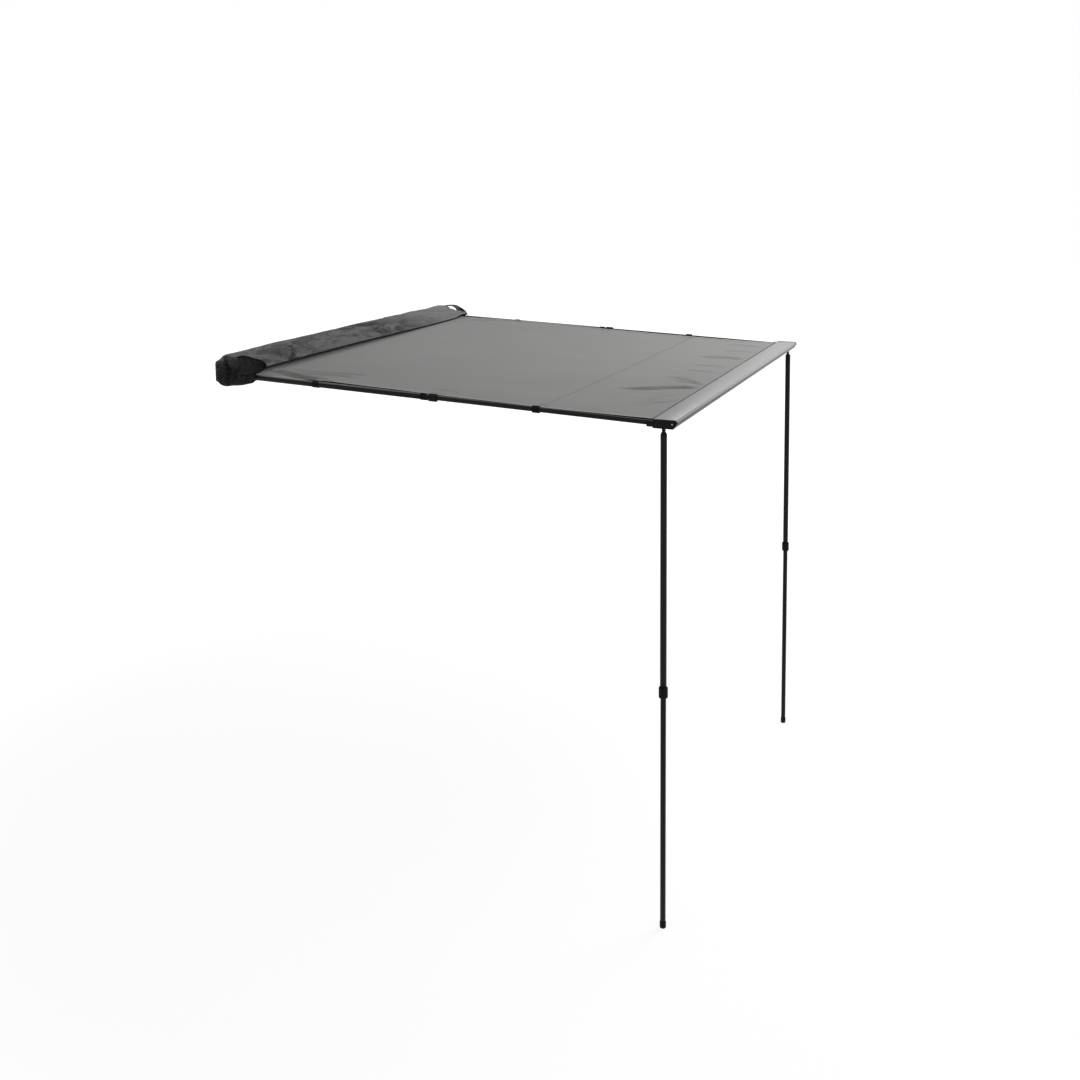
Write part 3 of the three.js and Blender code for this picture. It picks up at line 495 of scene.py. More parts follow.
def canopy_cloth():
    finish = Finish("canopy_cloth")
    weave = (finish.x * 4200).sin() * (finish.y * 4200).sin()
    warp, weft = finish.noise(420, 2, 0.6, (1, 0.12, 1)), finish.noise(420, 2, 0.6, (0.12, 1, 1))
    cloud = finish.noise(2.4, 4, 0.6)
    streak = finish.noise(3.2, 4, 0.62, (0.55, 2.4, 1))
    fine = finish.noise(30, 4, 0.65)
    side = finish.y.abs()
    seam = finish.x - finish.y * SEAM_SLANT
    hem = side.step(CANOPY_HALF - HEM, CANOPY_HALF - HEM + 0.001)
    felled = seam.band(SEAM_X, SEAM_HALF, 0.0008)
    # painted shade: a black band on the cloth at the bar stands for the shadow of the gap there
    tape = finish.x.step(CANOPY_END - BAR_SHADE_BAND, CANOPY_END - BAR_SHADE_BAND + 0.0008)
    patch = finish.x * 0
    half_x, half_y = PATCH_HALF
    for x, end in PATCHES:
        long = finish.x.band(x, half_x, 0.0008)
        wide = finish.y.band(end * (CANOPY_HALF - half_y), half_y, 0.0008)
        patch = patch.high(long * wide)
    inner = stitches(side, finish.x, CANOPY_HALF - HEM + 0.0025)
    thread = inner.high(stitches(side, finish.x, CANOPY_HALF - 0.004))
    for offset in (-SEAM_HALF + 0.0016, SEAM_HALF - 0.0016):
        thread = thread.high(stitches(seam, finish.y, SEAM_X + offset))
    hem_fold = side.band(CANOPY_HALF - HEM - 0.0005, 0.0008, 0.0014)
    fold = seam.band(SEAM_X - SEAM_HALF, 0.0011, 0.0016).high(hem_fold)
    share = (cloud * 0.45 + streak * 0.3 + fine * 0.25).clamp()
    # painted shade: the cloth is darker towards the near side and towards the bag
    near_painted_shade = (1 - finish.y.step(-1.05, 0.1)) * (1 - finish.x.step(0.2, 1.7))
    grey = finish.mix(near_painted_shade * 0.22, finish.tone(CLOTH_GREY, share, 0.12), DARK_GREY)
    marks = (fold * 0.7 + thread * 0.4 + patch * 0.26 + felled * 0.1).clamp()
    marked = finish.mix(marks, grey, DARK_GREY)
    bright = finish.mix(hem * 0.28, marked, HEM_GREY)
    finish.bump(
        weave * 0.1 + (warp + weft) * 0.25 + fine * 0.5 - thread * 1.4 - fold * 1.2 + patch * 0.8,
        0.35,
        0.0006,
    )
    return finish.set(
        Base_Color=finish.mix(tape, bright, BAR_SHADE_BLACK),
        Roughness=0.76 + fine * 0.1 - cloud * 0.05,
        Specular_IOR_Level=0.2,
        Sheen_Weight=0.1,
    )


canopy_grey = canopy_cloth()
print("canopy cloth", len(canopy_grey.node_tree.nodes), "nodes")

# %% [markdown]
# ## Bag cloth and webbing
#
# The bag is a heavy coated cloth, much darker than the canopy. Soft slanting pale and dark marks on it
# are painted light and shade of its folds; they are a bent, stretched noise. Towards the far end it is
# paler still. The ends and the end flap are darker, and their pale marks fade towards the ground as
# painted light from above. Webbing and tapes have ribs and a matt pile.

# %% Bag cloth and webbing
FAR_PALE_GAIN = 1.45
WEBBING = (0.0105, 0.0105, 0.0112)


def bag_cloth(name, dark, pale, scale, far_pale):
    finish = Finish(name)
    weave = (finish.x * 3300 + finish.z * 3300).sin() * (finish.y * 3300).sin()
    patchy = finish.noise(scale * 0.45, 4, 0.6, (1.6, 0.5, 1.6), bend=0.6)
    slant = finish.noise(scale, 5, 0.62, (1.2, 0.5, 1.2), bend=1.2)
    fine = finish.noise(scale * 6, 4, 0.7)
    # painted light and shade: pale patches stand for the lit flanks of the folds
    share = (patchy.step(0.46, 0.55) * 0.45 + slant.step(0.46, 0.55) * 0.45 + (fine - 0.5) * 0.6).clamp()
    # painted light from above: on the ends and the end flap the pale patches fade towards the ground
    if not far_pale:
        share = share * (finish.z.step(-0.01, 0.06) * 0.75 + 0.25)
    rubbed_and_lit = finish.mix(share, dark, pale)
    # paler towards the far end
    far_share = finish.y.step(0.0, 1.15) * far_pale
    finish.bump(weave * 0.12 + fine * 0.9 + patchy * 1.8 + slant * 1.2, 0.55, 0.0014)
    return finish.set(
        Base_Color=finish.mix(far_share, rubbed_and_lit, tuple(c * FAR_PALE_GAIN for c in pale)),
        Roughness=0.6 + patchy * 0.22,
        Specular_IOR_Level=0.15,
    )


def webbing_tape():
    finish = Finish("webbing")
    ribs = ((finish.x + finish.z) * 2600).sin() * ((finish.y - finish.z) * 2100).sin()
    fuzz = finish.noise(700, 3, 0.7)
    share = (fuzz * 0.7 + ribs * 0.2 + 0.1).clamp()
    finish.bump(ribs * 0.5 + fuzz * 0.6, 0.5, 0.0005)
    return finish.set(
        Base_Color=finish.tone(WEBBING, share, 0.5),
        Roughness=0.85,
        Specular_IOR_Level=0.1,
    )


webbing = FINISHES["webbing"] = webbing_tape()
bag_dark = bag_cloth("bag_cloth", (0.009, 0.009, 0.0094), (0.15, 0.15, 0.15), 12, 0.95)
bag_end_dark = bag_cloth("bag_end_cloth", (0.003, 0.003, 0.0032), (0.105, 0.105, 0.105), 30, 0.0)
bag_flap_dark = bag_cloth("bag_flap_cloth", (0.01, 0.01, 0.0104), (0.038, 0.038, 0.038), 24, 0.0)
print("bag cloths", [cloth.name for cloth in (bag_dark, bag_end_dark, bag_flap_dark)])

# %% [markdown]
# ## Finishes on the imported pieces
#
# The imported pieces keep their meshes. Their triangles are loose, so a weld joins them for shading, and a
# narrow bevel rounds each hard edge: no real edge is perfectly sharp, and the thin line of light on it
# is what makes a part look solid.

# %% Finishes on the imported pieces
EDGE_RADIUS = 0.0004
EDGE_ANGLE = math.radians(32)
TOUCHING = 0.00001


def dress(name, material):
    obj = frame["nodes"][name]
    obj.data.materials.clear()
    obj.data.materials.append(material)
    obj.data.polygons.foreach_set("use_smooth", [True] * len(obj.data.polygons))
    weld = obj.modifiers.new("weld", "WELD")
    weld.merge_threshold = TOUCHING
    edges = obj.modifiers.new("edges", "BEVEL")
    edges.width = EDGE_RADIUS
    edges.segments = 2
    edges.limit_method = "ANGLE"
    edges.angle_limit = EDGE_ANGLE
    edges.harden_normals = True


dressed = [row for row in frame["record"]["subparts"] if row["material_slot"] in FINISHES]
for row in dressed:
    dress(row["node"], FINISHES[row["material_slot"]])
print("dressed", len(dressed))

# %% [markdown]
# ## Sheets and rolled tubes
#
# Cloth starts as a flat grid, as on the cutting table, and each point is then moved to its place. A
# cord is the same grid rolled round a line, with the seam merged. `link` puts the mesh in the scene
# under its own name, gives it its finish and says which body it rides on; a piece that bends over a
# joint gets no body here.

# %% Sheets and rolled tubes
def sheet_mesh(name, place, across, along, rolled=False):
    """A grid whose points lie at place(u, v) for the stations u in across and v in along."""
    bm = bmesh.new()
    rows, columns = len(across) - 1, len(along) - 1
    bmesh.ops.create_grid(bm, x_segments=rows, y_segments=columns, size=0.5)
    for vert in bm.verts:
        u = across[round((vert.co.x + 0.5) * rows)]
        v = along[round((vert.co.y + 0.5) * columns)]
        vert.co = place(u, v)
    if rolled:
        bmesh.ops.remove_doubles(bm, verts=bm.verts, dist=TOUCHING)
        rim = [edge for edge in bm.edges if edge.is_boundary]
        bmesh.ops.holes_fill(bm, edges=rim, sides=0)
    bmesh.ops.recalc_face_normals(bm, faces=bm.faces)
    mesh = bpy.data.meshes.new(name)
    bm.to_mesh(mesh)
    bm.free()
    return mesh


def rolled_mesh(name, line, radius, sides):
    """A cord with that many sides through the points of line."""
    points = [Vector(point) for point in line]

    def place(k, turn):
        ahead = points[min(k + 1, len(points) - 1)] - points[max(k - 1, 0)]
        side = ahead.cross(Vector((0, 0, 1))).normalized()
        up = side.cross(ahead).normalized()
        return points[k] + (side * math.cos(turn) + up * math.sin(turn)) * radius

    turns = [2 * math.pi * j / sides for j in range(sides)] + [0.0]
    return sheet_mesh(name, place, range(len(points)), turns, rolled=True)


def link(mesh, material, body=None, thickness=0.0):
    obj = bpy.data.objects.new(mesh.name, mesh)
    scene.collection.objects.link(obj)
    mesh.materials.append(material)
    mesh.polygons.foreach_set("use_smooth", [True] * len(mesh.polygons))
    if thickness:
        wall = obj.modifiers.new("thickness", "SOLIDIFY")
        wall.thickness = thickness
        wall.offset = 0.0
    if body:
        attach(obj, body)
    return obj


def ease(value, start, end):
    share = min(max((value - start) / (end - start), 0), 1)
    return share * share * (3 - 2 * share)


def rough_at(x, y, z=0.0):
    """Smooth noise from -1 to 1, the same in every run."""
    return noise.noise(Vector((x, y, z)))


def evenly(start, end, count):
    return [float(value) for value in np.linspace(start, end, count)]


def smooth_line(table):
    """A function that runs smoothly through the rows (station, value, ...)."""
    stations = np.array([row[0] for row in table], float)
    values = np.array([row[1:] for row in table], float)
    slopes = np.gradient(values, stations, axis=0)

    def at(station):
        station = min(max(station, stations[0]), stations[-1])
        i = min(max(int(np.searchsorted(stations, station)) - 1, 0), len(stations) - 2)
        length = stations[i + 1] - stations[i]
        k = (station - stations[i]) / length
        start = values[i] * (1 + 2 * k) * (1 - k) ** 2 + slopes[i] * k * (1 - k) ** 2 * length
        end = values[i + 1] * k * k * (3 - 2 * k) + slopes[i + 1] * k * k * (k - 1) * length
        return start + end

    return at


print("mesh helpers ready")

# %% [markdown]
# ## The canopy's surface
#
# The cloth is sewn to a bead in the back channel and one in the lead bar, and the rafters hold its
# sides. Between them it is one curved sheet: it drops over the channel, runs out nearly straight and
# sags a little in the middle. Short creases fan out from the bar where the cloth is pulled unevenly,
# and longer ones run from the bag's end along the near edge, which bulges up there and drapes over the
# rafter. Under the hood the cloth is lifted clear of the far rafter, which swings in below it. Each
# crease is a low ridge along a line, because a simulation would put creases anywhere but where they
# are wanted.

# %% The canopy's surface
BEAD_HEIGHTS = (-0.069, 0.024)
LEVELS = smooth_line([
    (0, 1), (0.02, 0.9), (0.05, 0.763), (0.088, 0.667), (0.13, 0.642), (0.184, 0.624), (0.24, 0.598),
    (0.3, 0.553), (0.36, 0.497), (0.43, 0.432), (0.49, 0.362), (0.55, 0.301), (0.61, 0.25), (0.67, 0.202),
    (0.73, 0.15), (0.79, 0.102), (0.85, 0.062), (0.904, 0.033), (0.945, 0.014), (0.978, 0.003), (1, 0),
])
# creases: start and end on the cloth, half width and height
CREASES = [
    ((1.74, -0.495), (2.03, -0.362), 0.012, -0.0058),
    ((1.73, -0.47), (2.03, -0.335), 0.015, 0.0048),
    ((1.83, -0.12), (2.03, -0.25), 0.013, 0.0042),
    ((1.87, -0.21), (2.03, -0.285), 0.011, -0.0036),
    ((1.81, 0.455), (2.03, 0.452), 0.012, -0.0034),
    ((1.80, 0.50), (2.03, 0.49), 0.015, 0.0034),
    ((1.84, 0.90), (2.03, 0.88), 0.011, 0.0036),
    ((1.85, 0.71), (2.03, 0.69), 0.012, -0.0034),
    ((1.91, -0.70), (1.95, -0.53), 0.013, 0.0042),
    ((1.90, -0.83), (2.03, -0.66), 0.013, -0.0038),
    ((1.84, 0.25), (2.03, 0.20), 0.014, 0.0030),
    ((1.84, 0.08), (2.03, 0.02), 0.013, -0.0028),
    ((0.17, -0.895), (0.58, -1.035), 0.014, 0.0060),
    ((0.17, -0.935), (0.50, -1.04), 0.011, -0.0052),
    ((0.26, -0.93), (0.60, -0.885), 0.015, 0.0040),
    ((0.24, -0.86), (0.62, -0.83), 0.016, -0.0034),
    ((1.00, -0.905), (1.15, -0.93), 0.012, 0.0026),
    ((0.24, 0.93), (0.52, 1.02), 0.012, 0.0032),
]
CREASE_SCALE = 1.7
SAG = 0.012
EDGE_BULGE = 0.009
EDGE_DRAPE = 0.012
TAIL_LIFT = 0.016
SLOW_WAVE, QUICK_WAVE, BAR_PULL = 0.0024, 0.0013, 0.0012


def crease_height(x, y):
    """All creases added up. Each wanders a little off its line and fades at both ends."""
    total = 0.0
    for (x0, y0), (x1, y1), half, height in CREASES:
        dx, dy = x1 - x0, y1 - y0
        length = math.hypot(dx, dy)
        run = ((x - x0) * dx + (y - y0) * dy) / length ** 2
        if -0.3 < run < 1.3:
            off = ((x - x0) * dy - (y - y0) * dx) / length + 0.008 * math.sin(7 * run + x0 * 9)
            fade = ease(run, -0.25, 0.3) * (1 - ease(run, 0.9, 1.15))
            total += CREASE_SCALE * height * fade * math.exp(-((off / half) ** 2))
    return total


def canopy_height(x, y):
    """The line between the two beads, with sag, bulges, slow waves and creases laid over it."""
    share = (x - CANOPY_START) / (CANOPY_END - CANOPY_START)
    v = y / CANOPY_HALF
    low, high = BEAD_HEIGHTS
    level = low + (high - low) * float(LEVELS(share)[0])
    free = math.sin(math.pi * min(max(share, 0), 1))
    sag = -SAG * (1 - v * v) * free
    bulge = EDGE_BULGE * ease(x, 0.20, 0.31) * (1 - ease(x, 0.31, 0.46)) * ease(-y, 0.84, 1.04)
    bulge -= EDGE_DRAPE * ease(-y, 0.96, CANOPY_HALF) * ease(x, 0.17, 0.25) * (1 - ease(x, 0.33, 0.52))
    bulge += TAIL_LIFT * ease(x, 0.0, 0.05) * (1 - ease(x, 0.12, 0.185))
    held = ease(x, 0.12, 0.26) * (1 - ease(x, CANOPY_END - 0.09, CANOPY_END - 0.006))
    roll = SLOW_WAVE * rough_at(x * 1.7, y * 2.6) + QUICK_WAVE * rough_at(x * 5.5, y * 3.8, 3)
    pull = BAR_PULL * rough_at(x * 2.1, y * 15, 7) * ease(x, 1.45, 1.95)
    edge = 1 - ease(abs(v), 0.985, 1.0) * 0.6
    return level + sag + bulge + (roll + pull + crease_height(x, y)) * held * edge


print("canopy height at the bag and at the bar", [round(canopy_height(x, 0), 4) for x in (0.2, 2.0)])

# %% [markdown]
# ## Canopy
#
# The sheet is cut in two where the hood of the bag hides it: a short tail by the channel, which on the
# real awning bends with the pitch of the canopy, and the long field, which on the real awning shortens
# as the lead bar slides in. The hem and the seam are really thicker, so the grid has stations on both
# sides of each and lifts between them.

# %% Canopy
CLOTH = 0.0012
HEM_LIFT, SEAM_LIFT = 0.001, 0.0012
TAIL_END = 0.119


def grid_lines(start, end, count, extra):
    """Even stations, and extra ones where the cloth gets thicker."""
    return sorted({round(value, 6) for value in (*evenly(start, end, count), *extra)})


def canopy():
    folds = [SEAM_X + d for d in (-0.022, -SEAM_HALF, 0, SEAM_HALF, 0.022)]
    xs = grid_lines(TAIL_END + 0.001, CANOPY_END, 180, folds + [CANOPY_END - BAR_SHADE_BAND])
    hems = [side * (CANOPY_HALF - d) for side in (-1, 1) for d in (0, 0.002, HEM - 0.0005, HEM + 0.0005)]
    ys = grid_lines(-CANOPY_HALF, CANOPY_HALF, 216, hems)

    def place(x, y):
        off = abs(x - y * SEAM_SLANT - SEAM_X)
        lift = SEAM_LIFT * (1 - ease(off, SEAM_HALF - 0.001, SEAM_HALF + 0.002))
        lift += HEM_LIFT * ease(abs(y), CANOPY_HALF - HEM - 0.0006, CANOPY_HALF - HEM + 0.0006)
        return x, y, canopy_height(x, y) + lift

    mesh = sheet_mesh("canopy_cloth", place, xs, ys)
    field = link(mesh, canopy_grey, thickness=CLOTH)
    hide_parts("canopy")
    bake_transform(field)
    mesh = sheet_mesh(
        "canopy_tail",
        lambda x, y: (x, y, canopy_height(x, y)),
        evenly(CANOPY_START, TAIL_END, 14),
        evenly(-CANOPY_HALF, CANOPY_HALF, 60),
    )
    tail = link(mesh, canopy_grey, thickness=CLOTH)
    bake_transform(tail)
    print("canopy points", len(field.data.vertices), "tail points", len(tail.data.vertices))
    return field


canopy_field = canopy()

# %% [markdown]
# ## Edge binding
#
# A black tape is folded round each side edge of the canopy and hangs down a little inside the rafter.
# From the side it is the dark line between the pale hem and the tube. It is a narrow strip that follows
# the edge, sewn to the field.

# %% Edge binding
BINDING = (0.0012, 0.0085)
BINDING_CLOTH = 0.0009
BINDING_RISE = {"near": 0.0022, "far": -0.0012}


def binding(end):
    side = SIDES[end]
    over, down = BINDING

    def place(x, t):
        top = canopy_height(x, side * CANOPY_HALF) + BINDING_RISE[end]
        if t < 0:
            return x, side * (CANOPY_HALF + t * over), top
        wobble = 0.0008 * rough_at(x * 9, side * 3, 2)
        return x, side * (CANOPY_HALF + 0.0008 + wobble * t), top - t * down

    xs = evenly(TAIL_END + 0.02, CANOPY_END - 0.004, 260)
    mesh = sheet_mesh(f"canopy_binding_{end}", place, xs, [-1, -0.5, -0.02, 0.02, 0.3, 0.6, 1])
    tape = link(mesh, webbing, thickness=BINDING_CLOTH)
    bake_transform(tape)
    return tape


bindings = [binding(end) for end in SIDES]
print("bindings", [tape.name for tape in bindings])

# %% [markdown]
# ## The bag's shape
#
# The open bag is a long shell: a hood that arches from the channel over the canopy to a piped lip, and a
# flap that hangs below the channel. It is lofted from cross sections, because a shell of plates would
# never sag like cloth. Towards the far end the hood sinks until its lip lies on the canopy; at the
# near end it swells, and its corner stands out. Both ends are rounded off over the last centimetres.

# %% The bag's shape
HOOD_REACH, HOOD_CREST = 0.186, 0.074
FLAP_REACH, FLAP_DROP = 0.112, 0.067
HEART = Vector((0.10, 0, 0.004))
END_ROUND = 0.034
END_INSET = {"near": 0.024, "far": 0.006}
REAR_CORNER = {"near": 0.016, "far": 0.003}
# how far the crest sinks towards the middle and the far end, and dips under the far band
MIDDLE_SINK, FAR_SINK, FAR_DIP = 0.008, 0.021, 0.02
# the lip's height over its line, its fall towards the far end and its rise over the far rafter
LIP_HEIGHT, LIP_FALL, LIP_RISE = 0.003, 0.013, 0.0098
# the near end's swelling, and how far its corner stands out and up
NEAR_SWELL, TIP_OUT, TIP_UP, FLAP_OUT, FLAP_UP = 0.004, 0.052, 0.028, 0.088, 0.018
REAR_SHIFT = 0.034
HOOD_WAVE, FLAP_WAVE = 0.0018, 0.0025
HOOD = smooth_line([
    (0.0, 0.015, 0.535), (0.06, 0.05, 0.71), (0.16, 0.14, 0.905), (0.27, 0.26, 1), (0.36, 0.375, 0.985),
    (0.46, 0.5, 0.89), (0.57, 0.625, 0.74), (0.68, 0.75, 0.56), (0.80, 0.86, 0.38), (0.90, 0.94, 0.235),
    (1.0, 1, 0.135),
])
FLAP = smooth_line([
    (0.0, 0.03, 0.585), (0.2, 0.18, 0.76), (0.45, 0.4, 0.955), (0.72, 0.67, 1), (1.0, 1, 0.866),
])


def end_of(s):
    return "near" if s < 0 else "far"


def rounded(point, s):
    """The point drawn towards the section's heart near the bag's ends."""
    over = max(0.0, (abs(s) * BAG_HALF - (BAG_HALF - END_ROUND)) / END_ROUND)
    inset = END_INSET[end_of(s)] * (1 - math.sqrt(max(0.0, 1 - min(over, 1) ** 2)))
    out = Vector((point.x - HEART.x, 0, point.z - HEART.z))
    reach = max(out.length, 0.001)
    return point - out * (inset / reach)


def rear_corner(s):
    """How far the cloth's rear edge stands off the channel at the bag's ends."""
    return REAR_CORNER[end_of(s)] * ease(abs(s), 0.966, 1)


def hood_point(u, s):
    """A point of the hood: u from the channel's top to the lip, s from -1 at the near end to 1."""
    y = s * BAG_HALF
    out, up = (float(share) for share in HOOD(u))
    crest = math.sin(math.pi * min(1, 1.2 * out))
    lip = out * out
    near, tip = ease(-s, 0.86, 1), ease(-s, 0.93, 1)
    sink = MIDDLE_SINK * ease(y, -0.6, 0.2) + FAR_SINK * ease(y, 0.3, 1.15)
    sink += FAR_DIP * ease(y, 1.035, 1.07) * math.exp(-(((out - 0.68) / 0.2) ** 2))
    wave = HOOD_WAVE * (math.sin(9 * s + 1) + math.sin(17 * s) / 2)
    lay = LIP_HEIGHT - LIP_FALL * ease(y, -0.4, 0.85) + LIP_RISE * ease(y, 0.93, 1.02)
    x = out * HOOD_REACH + tip * TIP_OUT * lip + rear_corner(s) * (1 - out) ** 2
    x += REAR_SHIFT * ease(-s, 0.945, 0.985) * ease(u, 0.02, 0.1) * (1 - ease(u, 0.12, 0.36))
    z = up * HOOD_CREST + (wave + near * NEAR_SWELL - sink) * crest + (lay + tip * TIP_UP) * lip
    return rounded(Vector((x, y, z)), s)


def flap_point(u, s):
    """A point of the lower flap: u from the channel's foot to its front edge."""
    out, down = (float(share) for share in FLAP(u))
    front = out * out
    near = ease(-s, 0.82, 1)
    wave = FLAP_WAVE * math.sin(11 * s)
    x = out * FLAP_REACH + near * FLAP_OUT * front + rear_corner(s) * (1 - out) ** 2
    z = -down * FLAP_DROP + (near * FLAP_UP + wave / 2) * front
    return rounded(Vector((x, s * BAG_HALF, z)), s)


print("lip at the middle", [round(c, 4) for c in hood_point(1, 0)])

# %% [markdown]
# ## Folds in the bag
#
# Heavy cloth buckles in ridges with soft flanks. A ridged noise, which is highest where a smooth noise
# passes through zero, gives such ridges; stretching it and turning it makes them slant across the hood,
# as on a bag that was rolled and strapped. They die out at the channel, where the cloth is held, and at
# the lip, and they stay shallow along the crest, where the cloth is pulled tight.

# %% Folds in the bag
SLANTING, CROSS, SMALL = 0.0062, 0.0040, 0.0020
FLAP_SLOW, FLAP_RIDGE = 0.0045, 0.0028
DEEPEST = -0.008


def ridge(value):
    """A ridge where the noise passes zero, with as much hollow as height."""
    return 0.5 - abs(value) * 2


def hood_folds(u, s):
    y = s * BAG_HALF
    ends = ease(abs(s), 0.7, 1.0)
    slanting = ridge(rough_at(u * 2.0 + y * 1.6, y * 3.4 - u * 2.8, 1)) * SLANTING
    cross = ridge(rough_at(u * 3.6 - y * 2.0, y * 10.5 + u * 3.5, 5)) * CROSS
    small = rough_at(u * 10, y * 21, 9) * SMALL
    depth = (slanting + cross) * (0.65 + 0.7 * ends) + small
    held = ease(u, 0, 0.14) * (1 - 0.85 * ease(u, 0.84, 1.0))
    held *= 1 - 0.75 * math.exp(-(((u - 0.28) / 0.14) ** 2))
    return max(depth * held, DEEPEST)


def flap_folds(u, s):
    depth = FLAP_SLOW * rough_at(u * 2, s * 7, 3) + FLAP_RIDGE * ridge(rough_at(u * 4, s * 15, 8))
    return depth * ease(u, 0, 0.15) * (1 - 0.6 * ease(u, 0.8, 1))


def folded(point, folds, outward):
    """A point function with its folds added square to the cloth."""

    def place(u, s):
        along = point(min(u + 0.01, 1), s) - point(max(u - 0.01, 0), s)
        square = Vector((-along.z, 0, along.x)).normalized() * outward
        return point(u, s) + square * folds(u, s)

    return place


hood_place = folded(hood_point, hood_folds, 1)
flap_place = folded(flap_point, flap_folds, -1)
print("highest fold", round(max(hood_folds(0.5, s) for s in evenly(-1, 1, 200)) * 1000, 1), "mm")

# %% [markdown]
# ## Hood and lower flap
#
# Both are open sheets with a thickness. When the canopy pitches, the real cloth lifts with it.

# %% Hood and lower flap
BAG_CLOTH = 0.003
SHELL_END = 0.985


def bend(obj):
    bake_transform(obj)
    return obj


def bag_shell():
    ends = evenly(-SHELL_END, SHELL_END, 400)
    mesh = sheet_mesh("bag_hood", hood_place, evenly(0, 1, 56), ends)
    hood = link(mesh, bag_dark, thickness=BAG_CLOTH)
    mesh = sheet_mesh("bag_flap", flap_place, evenly(0, 1, 24), ends[::2])
    flap = link(mesh, bag_dark, thickness=BAG_CLOTH)
    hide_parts("bag")
    bend(hood)
    bend(flap)
    print("hood points", len(hood.data.vertices), "flap points", len(flap.data.vertices))


bag_shell()

# %% [markdown]
# ## Gathered ends
#
# Each end of the bag is closed by cloth that is drawn together and pushed in, so it crumples: folds run
# from the rim to the middle and little pockets form between them. A disc of rings is blown out a little
# behind the rim, drawn in at the middle and crumpled with noise that is deepest between the two.

# %% Gathered ends
FRONT_BELLY = 0.013
PUFF = {"near": 0.012, "far": 0.007}
CRUMPLE = {"near": 0.0075, "far": 0.004}
DRAWN_IN = 0.010


def end_rim(side):
    """Points round the section at a bag end, from the channel's top forwards and back."""
    s = side * SHELL_END
    hood = [hood_place(u, s) for u in evenly(0, 1, 60)]
    flap = [flap_place(u, s) for u in evenly(0, 1, 26)]
    lip, foot = hood[-1], flap[-1]
    front = []
    for t in evenly(0.08, 0.92, 14):
        point = lip.lerp(foot, t)
        point.x += FRONT_BELLY * math.sin(math.pi * t)
        front.append(point)
    back = [flap[0].lerp(hood[0], t) for t in evenly(0.08, 0.92, 12)]
    return hood + front + flap[::-1] + back


def gathered_end(end):
    side = SIDES[end]
    rim = end_rim(side)
    heart = Vector((0.108, side * (BAG_HALF - 0.006), 0.006))
    puff, depth = PUFF[end], CRUMPLE[end]

    def place(r, k):
        edge = rim[k % len(rim)]
        spot = edge.lerp(heart, r)
        turn = math.atan2(edge.z - heart.z, edge.x - heart.x)
        rays = math.sin(9 * turn + 2.6 * math.sin(3 * turn)) + 0.6 * math.sin(17 * turn + 1.3)
        crumple = ridge(rough_at(spot.x * 26, spot.z * 26, 2 * side))
        crumple += 0.6 * ridge(rough_at(spot.x * 60, spot.z * 60, 5))
        blown = math.sqrt(max(0.0, 1 - (1 - min(1, r * 3.2)) ** 2))
        spot.y += side * (puff * blown - DRAWN_IN * ease(r, 0.45, 1))
        spot.y += side * depth * (0.45 * rays * math.sin(math.pi * r) + crumple * ease(r, 0.02, 0.2) * 1.1)
        return spot

    turns = list(range(len(rim))) + [0]
    mesh = sheet_mesh(f"bag_end_{end}", place, evenly(0, 1, 46), turns, rolled=True)
    return bend(link(mesh, bag_end_dark, thickness=BAG_CLOTH))


bundles = [gathered_end(end) for end in SIDES]
print("end points", [len(obj.data.vertices) for obj in bundles])

# %% [markdown]
# ## Folded-back end flap
#
# At the near end the bag's closing flap is folded back and hangs beside the lip like a dark drop. It is
# a disc bent to that outline: a few points give the drop's edge, rings run in to its middle, and the
# middle bellies out. A thin cord is sewn round its edge.

# %% Folded-back end flap
DROP = smooth_line([
    (0.0, 0.140, -1.094, 0.076), (0.12, 0.176, -1.099, 0.084), (0.25, 0.222, -1.096, 0.080),
    (0.38, 0.262, -1.078, 0.062), (0.5, 0.272, -1.066, 0.040), (0.62, 0.256, -1.082, 0.021),
    (0.75, 0.222, -1.094, 0.001), (0.88, 0.176, -1.098, 0.000), (1.0, 0.150, -1.096, 0.016),
])
DROP_CLOTH = 0.0022
DROP_CORD = 0.0026
DROP_WAVE, DROP_BELLY, DROP_FOLD = 0.0035, 0.007, 0.005


def drop_edge(t):
    """A point of the drop's edge. Past 1 it is the first point again, which closes the ring."""
    edge = Vector([float(c) for c in DROP(t if t <= 1 else 0.0)])
    return edge + Vector((0, 0, DROP_WAVE)) * math.sin(6 * math.pi * t) * math.sin(math.pi * min(t, 1))


def drop_flap():
    heart = Vector((0.208, -1.098, 0.040))

    def place(r, t):
        spot = drop_edge(t).lerp(heart, r)
        spot.y -= DROP_BELLY * math.sin(math.pi * min(1, r * 1.1) / 2)
        spot.y -= DROP_FOLD * ridge(rough_at(spot.x * 22, spot.z * 30, 4)) * ease(r, 0, 0.3)
        return spot

    mesh = sheet_mesh("bag_end_flap", place, evenly(0, 1, 26), evenly(0, 1, 90) + [1.01], rolled=True)
    rim = [drop_edge(t) - Vector((0, 0.004, 0)) for t in evenly(0, 0.98, 90)]
    bend(link(rolled_mesh("bag_end_flap_cord", rim, DROP_CORD, 8), webbing))
    return bend(link(mesh, bag_flap_dark, thickness=DROP_CLOTH))


drop = drop_flap()
print("end flap points", len(drop.data.vertices))

# %% [markdown]
# ## Stiff band at the far end
#
# At the far end the hood's cloth sinks away under a stiffened band that stands up like an arch, so one
# looks through between the two. The band is a strip between an inner and an outer line; it starts
# narrow at the rear and is widest where it comes down to the lip, with a dark patch of painted shade
# on it where its rim turns in.

